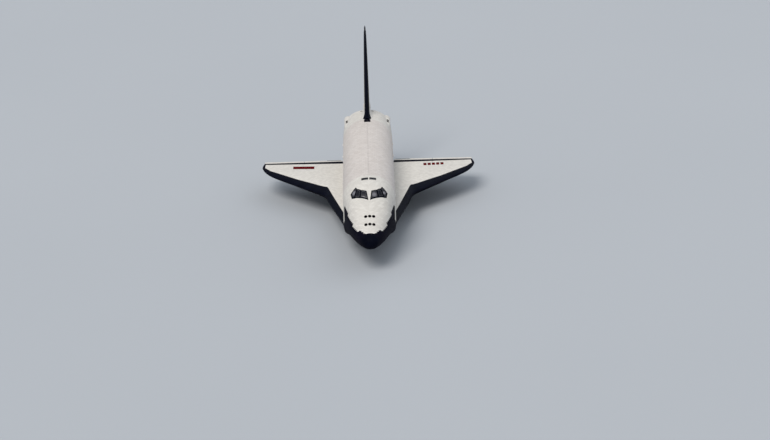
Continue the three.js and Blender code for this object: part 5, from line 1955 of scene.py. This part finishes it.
# Parts of a leg are placed from its own port offset and station.
# Bars: start, end, radius, sides, slot
NOSE_BARS = [
    ((0, 0, NOSE_WELL["depth"]), (0, 0, -0.7), 0.105, 32, 0),
    ((0, 0, -0.35), (0, 0.98, 0.9), 0.045, 20, 0),
    ((0, 0.35, -0.02), (0, 0.62, 0.43), 0.058, 20, 1),
    ((-0.42, 0, 0.86), (0.42, 0, 0.86), 0.07, 24, 0),
    ((-0.11, -0.05, -0.55), (-0.11, -0.05, 0.6), 0.012, 8, 2),
    ((0.11, -0.05, -0.55), (0.11, -0.05, 0.6), 0.012, 8, 2),
    ((-0.16, -0.12, -0.3), (-0.16, -0.02, -0.3), 0.05, 20, 1),
    ((0.16, -0.12, -0.3), (0.16, -0.02, -0.3), 0.05, 20, 1),
]
MAIN_BARS = [
    ((0, 0, MAIN_WELL["depth"]), (0, 0, -0.62), 0.15, 36, 0),
    ((0, 0, -0.6), (0, 0, axle_level(WHEELS["main"]) + 0.04), 0.105, 36, 1),
    ((0, 0, -0.48), (0, -1.84, 0.62), 0.06, 20, 0),
    ((0, -0.5, -0.2), (0, -1.0, 0.18), 0.078, 20, 1),
    ((-0.44, 0, 0.56), (0.44, 0, 0.56), 0.08, 24, 0),
    ((-0.35, 0.05, 0.5), (0, 0.05, -0.3), 0.035, 12, 0),
]
# Collars: their levels, inner and outer radius, half height, sides, slot
NOSE_COLLARS = ((-0.68, -0.45, -0.12, 0.35), 0.10, 0.122, 0.03, 32, 1)
MAIN_COLLARS = ((-0.6, -0.4, 0.1, 0.5), 0.145, 0.17, 0.035, 36, 0)
# Cable of a main leg: share of its offset, distance aft, level
CABLE = [(1.0, 0.08, 0.55), (1.0, 0.1, -0.1), (0.9, 0.12, -0.6), (1.1, 0.16, -0.95),
         (1.1, 0.08, axle_level(WHEELS["main"]) + 0.1)]


def leg_parts(wheel, bars, collars):
    """A gear leg's bars and collars."""
    foot = at(wheel["x"], wheel["station"], 0)
    leg = Build()
    for start, end, radius, sides, slot in bars:
        leg.add(rod(foot + start, foot + end, radius, sides), slot)
    levels, inner, outer, half, sides, slot = collars
    for level in levels:
        middle = foot + (0, 0, level)
        leg.add(turned(band(inner, outer, -half, half), middle, UPWARD, sides, closed=True), slot)
    return leg


def make_nose_gear():
    wheel = WHEELS["nose"]
    leg = leg_parts(wheel, NOSE_BARS, NOSE_COLLARS)
    piece = leg.make("nose_leg_parts", [GEAR_PAINT, BRIGHT_METAL, SEAL])
    dress(piece, "airframe", "gear_metal", "nose_leg")
    foot, axle = at(0, wheel["station"], 0), axle_level(wheel)
    cap = [(0.076, -0.04), (0.1, -0.04), (0.1, 0.05), (0.076, 0.06)]
    strut = Build().add(rod(foot + (0, 0, -0.703), foot + (0, 0, axle + 0.05), 0.078, 32), 1)
    strut.add(sleeve(wheel, 0.0))
    strut.add(turned(cap, foot + (0, 0, axle + 0.16), UPWARD, 32, closed=True))
    links = [foot + link for link in ((0, 0.08, -0.76), (0, 0.08, axle + 0.2), (0, 0.27, -1.02))]
    strut.add(torque_link(*links, 0.06))
    piece = strut.make("nose_strut_parts", [GEAR_PAINT, BRIGHT_METAL])
    dress(piece, "nose_steering", "gear_metal", "nose_strut")
    make_wheels("nose", "nose_wheels", wheel, 0.0)


def main_leg_shape():
    """The port main leg with its torque link, sleeve, cap and two cables."""
    wheel = WHEELS["main"]
    leg = leg_parts(wheel, MAIN_BARS, MAIN_COLLARS)
    foot, axle = at(wheel["x"], wheel["station"], 0), axle_level(wheel)
    cap = [(0.1, -0.05), (0.135, -0.05), (0.135, 0.06), (0.1, 0.08)]
    links = [foot + link for link in ((0, 0.13, -0.55), (0, 0.13, axle + 0.16), (0, 0.42, -0.9))]
    leg.add(torque_link(*links, 0.09))
    leg.add(sleeve(wheel, wheel["x"]))
    leg.add(turned(cap, foot + (0, 0, axle + 0.18), UPWARD, 32, closed=True))
    for dx in (-0.13, 0.13):
        leg.add(tube([foot + (dx * share, back, level) for share, back, level in CABLE], 0.012, 8), 2)
    return leg.shape()


def make_main_gear():
    paints = [GEAR_PAINT, BRIGHT_METAL, SEAL]
    make_sides(main_leg_shape(), "main_leg_parts_{}", paints, "airframe", "gear_metal", "main_leg_{}")
    for side, name in SIDES:
        make_wheels(f"main_{name}", f"main_wheels_{name}", WHEELS["main"], side * WHEELS["main"]["x"])


def gear_door(x0, x1, start, end, drop, ribs):
    """A hanging door: dark tiled outside, ribbed and painted inside, on hinge arms."""
    door = Build()
    rings, places = [], []
    for station in (start, start + 0.02, end - 0.02, end):
        shave = 0.012 if station in (start, end) else 0.0
        line = [(x1 - shave, -drop + shave), (x1 - shave, -0.003), (x0, -0.003), (x0, -drop + shave)]
        rings.append([at(x, station, z) for x, z in line])
        places.append([(z, station) for _, z in line] + [(line[0][1], station)])
    door.add(loft(rings, places, [0, 1, 1, 0], caps=(0, 0)))
    for level in (-drop + 0.06, -0.5 * drop, -0.1):
        door.add(slab((x0 - 0.018, start + 0.05, level - 0.03), (x0 + 0.001, end - 0.05, level + 0.03)), 1)
    for station in np.linspace(start + 0.1, end - 0.1, ribs):
        door.add(slab((x0 - 0.022, station - 0.025, -drop + 0.05), (x0 + 0.001, station + 0.025, -0.08)), 1)
    for station in np.linspace(start + 0.35, end - 0.35, 3):
        door.add(slab((x0 - 0.03, station - 0.03, -0.2), (x0 + 0.002, station + 0.03, 0.0)), 2)
    return door.shape()


# gear, inner and outer port offset, well, drop below the belly, ribs
GEAR_DOORS = [("nose", 0.56, 0.6, NOSE_WELL, 0.56, 7), ("main", 4.215, 4.265, MAIN_WELL, 1.15, 9)]


def make_gear_doors():
    paints = [DARK_TILE, WELL_PAINT, BRIGHT_METAL]
    for gear, x0, x1, well, drop, ribs in GEAR_DOORS:
        door = gear_door(x0, x1, well["start"] + 0.02, well["end"] - 0.02, drop, ribs)
        names = (gear + "_door_{}", paints, "airframe", "black_tile", gear + "_gear_door_{}")
        make_sides(door, *names, ease=0.004)


# Ribs in the wheel wells: half thickness, gap to wall and roof, reach from the wall, reach from the roof
RIB = {"half": 0.02, "gap": 0.001, "wall": 0.04, "roof": 0.05}


def well_rib(well, station, x0, x1, low=None):
    """A rib over the roof of a well, or down a wall to a level."""
    edge = well["depth"] - RIB["roof"]
    bottom, top = (edge, well["depth"] - RIB["gap"]) if low is None else (low, edge)
    return slab((x0, station - RIB["half"], bottom), (x1, station + RIB["half"], top))


def rib_stations(well, count):
    return np.linspace(well["start"] + 0.2, well["end"] - 0.2, count)


# Pipes along the wells: port offset, level
NOSE_PIPES = [(0.49, 0.4), (0.49, 0.48)]
MAIN_PIPES = [(x, MAIN_WELL["depth"] - 0.07) for x in (3.1, 3.17, 3.98)]


def well_pipes(places, well, side):
    """The pipes of a well on one side."""
    ends = (well["start"] + 0.05, well["end"] - 0.05)
    pipes = Build()
    for x, level in places:
        front, back = (at(side * x, station, level) for station in ends)
        pipes.add(rod(front, back, 0.014, 10))
    return pipes.shape()


def main_ribs():
    """Ribs of the port main well."""
    inner, outer, gap, wall = MAIN_WELL["inner"], MAIN_WELL["outer"], RIB["gap"], RIB["wall"]
    ribs = Build()
    for station in rib_stations(MAIN_WELL, 8):
        ribs.add(well_rib(MAIN_WELL, station, inner + gap, outer - gap))
        ribs.add(well_rib(MAIN_WELL, station, inner + gap, inner + wall, 0.25))
        ribs.add(well_rib(MAIN_WELL, station, outer - wall, outer - gap, 0.25))
    return ribs.shape()


def make_well_linings():
    """Ribs and pipes on the walls and roofs of the wheel wells."""
    half, gap, wall = NOSE_WELL["half_width"], RIB["gap"], RIB["wall"]
    lining = Build()
    for station in rib_stations(NOSE_WELL, 7):
        lining.add(well_rib(NOSE_WELL, station, -half + gap, half - gap))
        lining.pair(well_rib(NOSE_WELL, station, half - wall, half - gap, 0.1))
    for side in (PORT, STARBOARD):
        lining.add(well_pipes(NOSE_PIPES, NOSE_WELL, side), 1)
    for side in (PORT, STARBOARD):
        lining.add(sided(main_ribs(), side)).add(well_pipes(MAIN_PIPES, MAIN_WELL, side), 1)
    piece = ease_edges(lining.make("well_linings", [WELL_PAINT, BRIGHT_METAL]), 0.004)
    dress(piece, "airframe", "cabin_grey")


# Cabin

# Side of the instrument panel, and its rows of instruments: station, level
PANEL_SIDE = [(3.95, CABIN["floor"]), (4.6, CABIN["floor"]), (4.66, 4.2), (4.38, 4.52), (4.0, 4.4)]
INSTRUMENT_ROWS = ((4.62, 4.12), (4.60, 3.9))


def make_cabin():
    """The instrument panel under the windscreen, and the paint of the floor."""
    floor_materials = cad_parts["cabin_floor"].data.materials
    floor_materials.clear()
    floor_materials.append(CABIN_PAINT)
    base = CABIN["floor"]
    stations, levels = np.array(PANEL_SIDE).T
    rings = []
    for x in np.linspace(-1.4, 1.4, 15):
        roof = body_level(x, stations) - CABIN["wall"] - 0.06
        rings.append(at(x, stations, np.maximum(np.minimum(levels, roof), base)))
    panel = Build().add(loft(rings))
    for station, level in INSTRUMENT_ROWS:
        for x in np.linspace(-1.2, 1.2, 9):
            panel.add(slab((x - 0.1, station, level - 0.08), (x + 0.1, station + 0.045, level + 0.08)), 1)
    panel.add(slab((-0.28, 4.66, base + 0.25), (0.28, 5.25, base + 0.32)), 0)
    piece = ease_edges(panel.make("flight_panel", [PANEL_PAINT, SCREEN]), 0.01)
    dress(piece, "airframe", "cabin_grey", "instrument_panel")


SEAT_PLACE = 0.72
# Soft parts of a seat, from the seat's middle and the floor: name, low and high corner, lean aft for each
# metre up, fill, axis the channels are spaced along, axis and direction they face, their places from -1 to 1
CUSHIONS = [
    ("pad", (-0.215, 5.115, 0.34), (0.215, 5.485, 0.46), 0.0, 0.8, 1, (2, 1), (-0.36, 0.36)),
    ("back", (-0.215, 5.51, 0.51), (0.215, 5.60, 0.99), 0.09, 0.7, 2, (1, -1), (-0.5, 0.0, 0.5)),
    ("rest", (-0.135, 5.55, 1.05), (0.135, 5.64, 1.24), 0.09, 0.7, 2, (1, -1), (0.0,)),
]
SWELL_LIMIT = 0.014


def cushion(low, high, name):
    """A crowned pad between two corners, its sides pulled in between them."""
    low, high = np.array(low), np.array(high)
    middle, half = (low + high) / 2, (high - low) / 2
    work = bmesh.new()
    bmesh.ops.create_cube(work, size=2.0)
    bmesh.ops.subdivide_edges(work, edges=work.edges, cuts=9, use_grid_fill=True)
    for vert in work.verts:
        a, b, c = vert.co
        crown = np.array([1 - 0.22 * (1 - (1 - p**2) * (1 - q**2))**2 for p, q in ((b, c), (a, c), (a, b))])
        vert.co = Vector(at(*(middle + half * (a, b, c) * crown)))
    mesh = bpy.data.meshes.new(name)
    work.to_mesh(mesh)
    work.free()
    mesh.materials.append(FABRIC)
    obj = bpy.data.objects.new(name, mesh)
    bpy.context.scene.collection.objects.link(obj)
    return obj


def bake(obj):
    """Replaces a piece's mesh with what its modifiers make of it."""
    graph = bpy.context.evaluated_depsgraph_get()
    made = bpy.data.meshes.new_from_object(obj.evaluated_get(graph), depsgraph=graph)
    obj.modifiers.clear()
    obj.data = made


def mesh_points(obj):
    points = np.zeros(len(obj.data.vertices) * 3)
    obj.data.vertices.foreach_get("co", points)
    return points.reshape(-1, 3)


def fill_pad(obj, frames=20):
    """Blows a pad up as cloth, with no point further than the limit from where it began."""
    remesh = obj.modifiers.new("voxels", "REMESH")
    remesh.mode, remesh.voxel_size = "VOXEL", 0.01
    bake(obj)
    before = mesh_points(obj)
    cloth = obj.modifiers.new("filling", "CLOTH")
    cloth.settings.use_pressure = True
    cloth.settings.uniform_pressure_force = 4.0
    cloth.settings.effector_weights.gravity = 0.0
    cloth.point_cache.frame_start, cloth.point_cache.frame_end = 1, frames
    for number in range(1, frames + 1):
        bpy.context.scene.frame_set(number)
    bake(obj)
    bpy.context.scene.frame_set(1)
    shift = mesh_points(obj) - before
    size = np.maximum(np.linalg.norm(shift, axis=1, keepdims=True), 1e-9)
    obj.data.vertices.foreach_set("co", (before + shift * np.minimum(1, SWELL_LIMIT / size)).ravel())


def sew(obj, axis, face, places, depth=0.007, width=0.016):
    """Sewn channels across one face of a pad."""
    points = mesh_points(obj)
    low, high = points.min(axis=0), points.max(axis=0)
    middle, half = (low + high) / 2, (high - low) / 2
    side, direction = face
    facing = np.clip(direction * (points[:, side] - middle[side]) / half[side], 0, 1)
    for place in places:
        away = points[:, axis] - middle[axis] - place * half[axis]
        points[:, side] -= direction * depth * facing * np.exp(-(away / width)**2)
    obj.data.vertices.foreach_set("co", points.ravel())


def lean_back(obj, share):
    points = mesh_points(obj)
    points[:, 1] += share * (points[:, 2] - points[:, 2].min())
    obj.data.vertices.foreach_set("co", points.ravel())


def make_soft_parts():
    """The soft parts of one seat, at the middle plane."""
    made = []
    for name, low, high, lean, fill, axis, face, places in CUSHIONS:
        low, high = (np.array(corner) + (0, 0, CABIN["floor"]) for corner in (low, high))
        pad = cushion(low, high, f"seat_{name}")
        fill_pad(pad)
        sew(pad, axis, face, places)
        lean_back(pad, lean)
        made.append((name, pad, fill))
    return made


def make_seats():
    """Two seats with the same soft parts."""
    soft = make_soft_parts()
    for side, side_name in SIDES:
        for name, pad, fill in soft:
            piece = copied(pad, f"seat_{name}_{side_name}", side * SEAT_PLACE)
            smooth(piece, 180)
            piece.modifiers.new("rounding", "SUBSURF").levels = 1
            nodes = [f"seat_{side_name}"] if name == "pad" else []
            dress(piece, "airframe", "seat_fabric", *nodes)
        make_seat_frame(side * SEAT_PLACE, side_name)
    for _, pad, _ in soft:
        bpy.data.objects.remove(pad)


def make_seat_frame(x, name):
    base = CABIN["floor"]
    shell = Build()
    shell.add(slab((x - 0.2, 5.15, base + 0.001), (x + 0.2, 5.58, base + 0.325)))
    back = [(5.62, base + 0.1), (5.66, base + 0.1), (5.76, base + 1.2), (5.72, base + 1.2)]
    shell.add(loft([[at(x + dx, s, z) for s, z in back] for dx in (-0.22, 0.22)]))
    for arm in (x - 0.25, x + 0.25):
        shell.add(slab((arm - 0.02, 5.2, base + 0.55), (arm + 0.02, 5.6, base + 0.6)))
    dress(ease_edges(shell.make(f"seat_frame_{name}", [CABIN_PAINT]), 0.015), "airframe", "cabin_grey")


make_nose_cap()
make_forward_fuselage()
make_windows()
make_thruster_rims()
make_mid_fuselage()
make_bay_fittings()
make_bay_doors()
make_radiators()
make_wings()
make_markings()
make_fin()
make_rudder()
make_aft_fuselage()
make_pods()
make_chute_housing()
make_engines()
make_nose_gear()
make_main_gear()
make_gear_doors()
make_well_linings()
make_cabin()
make_seats()
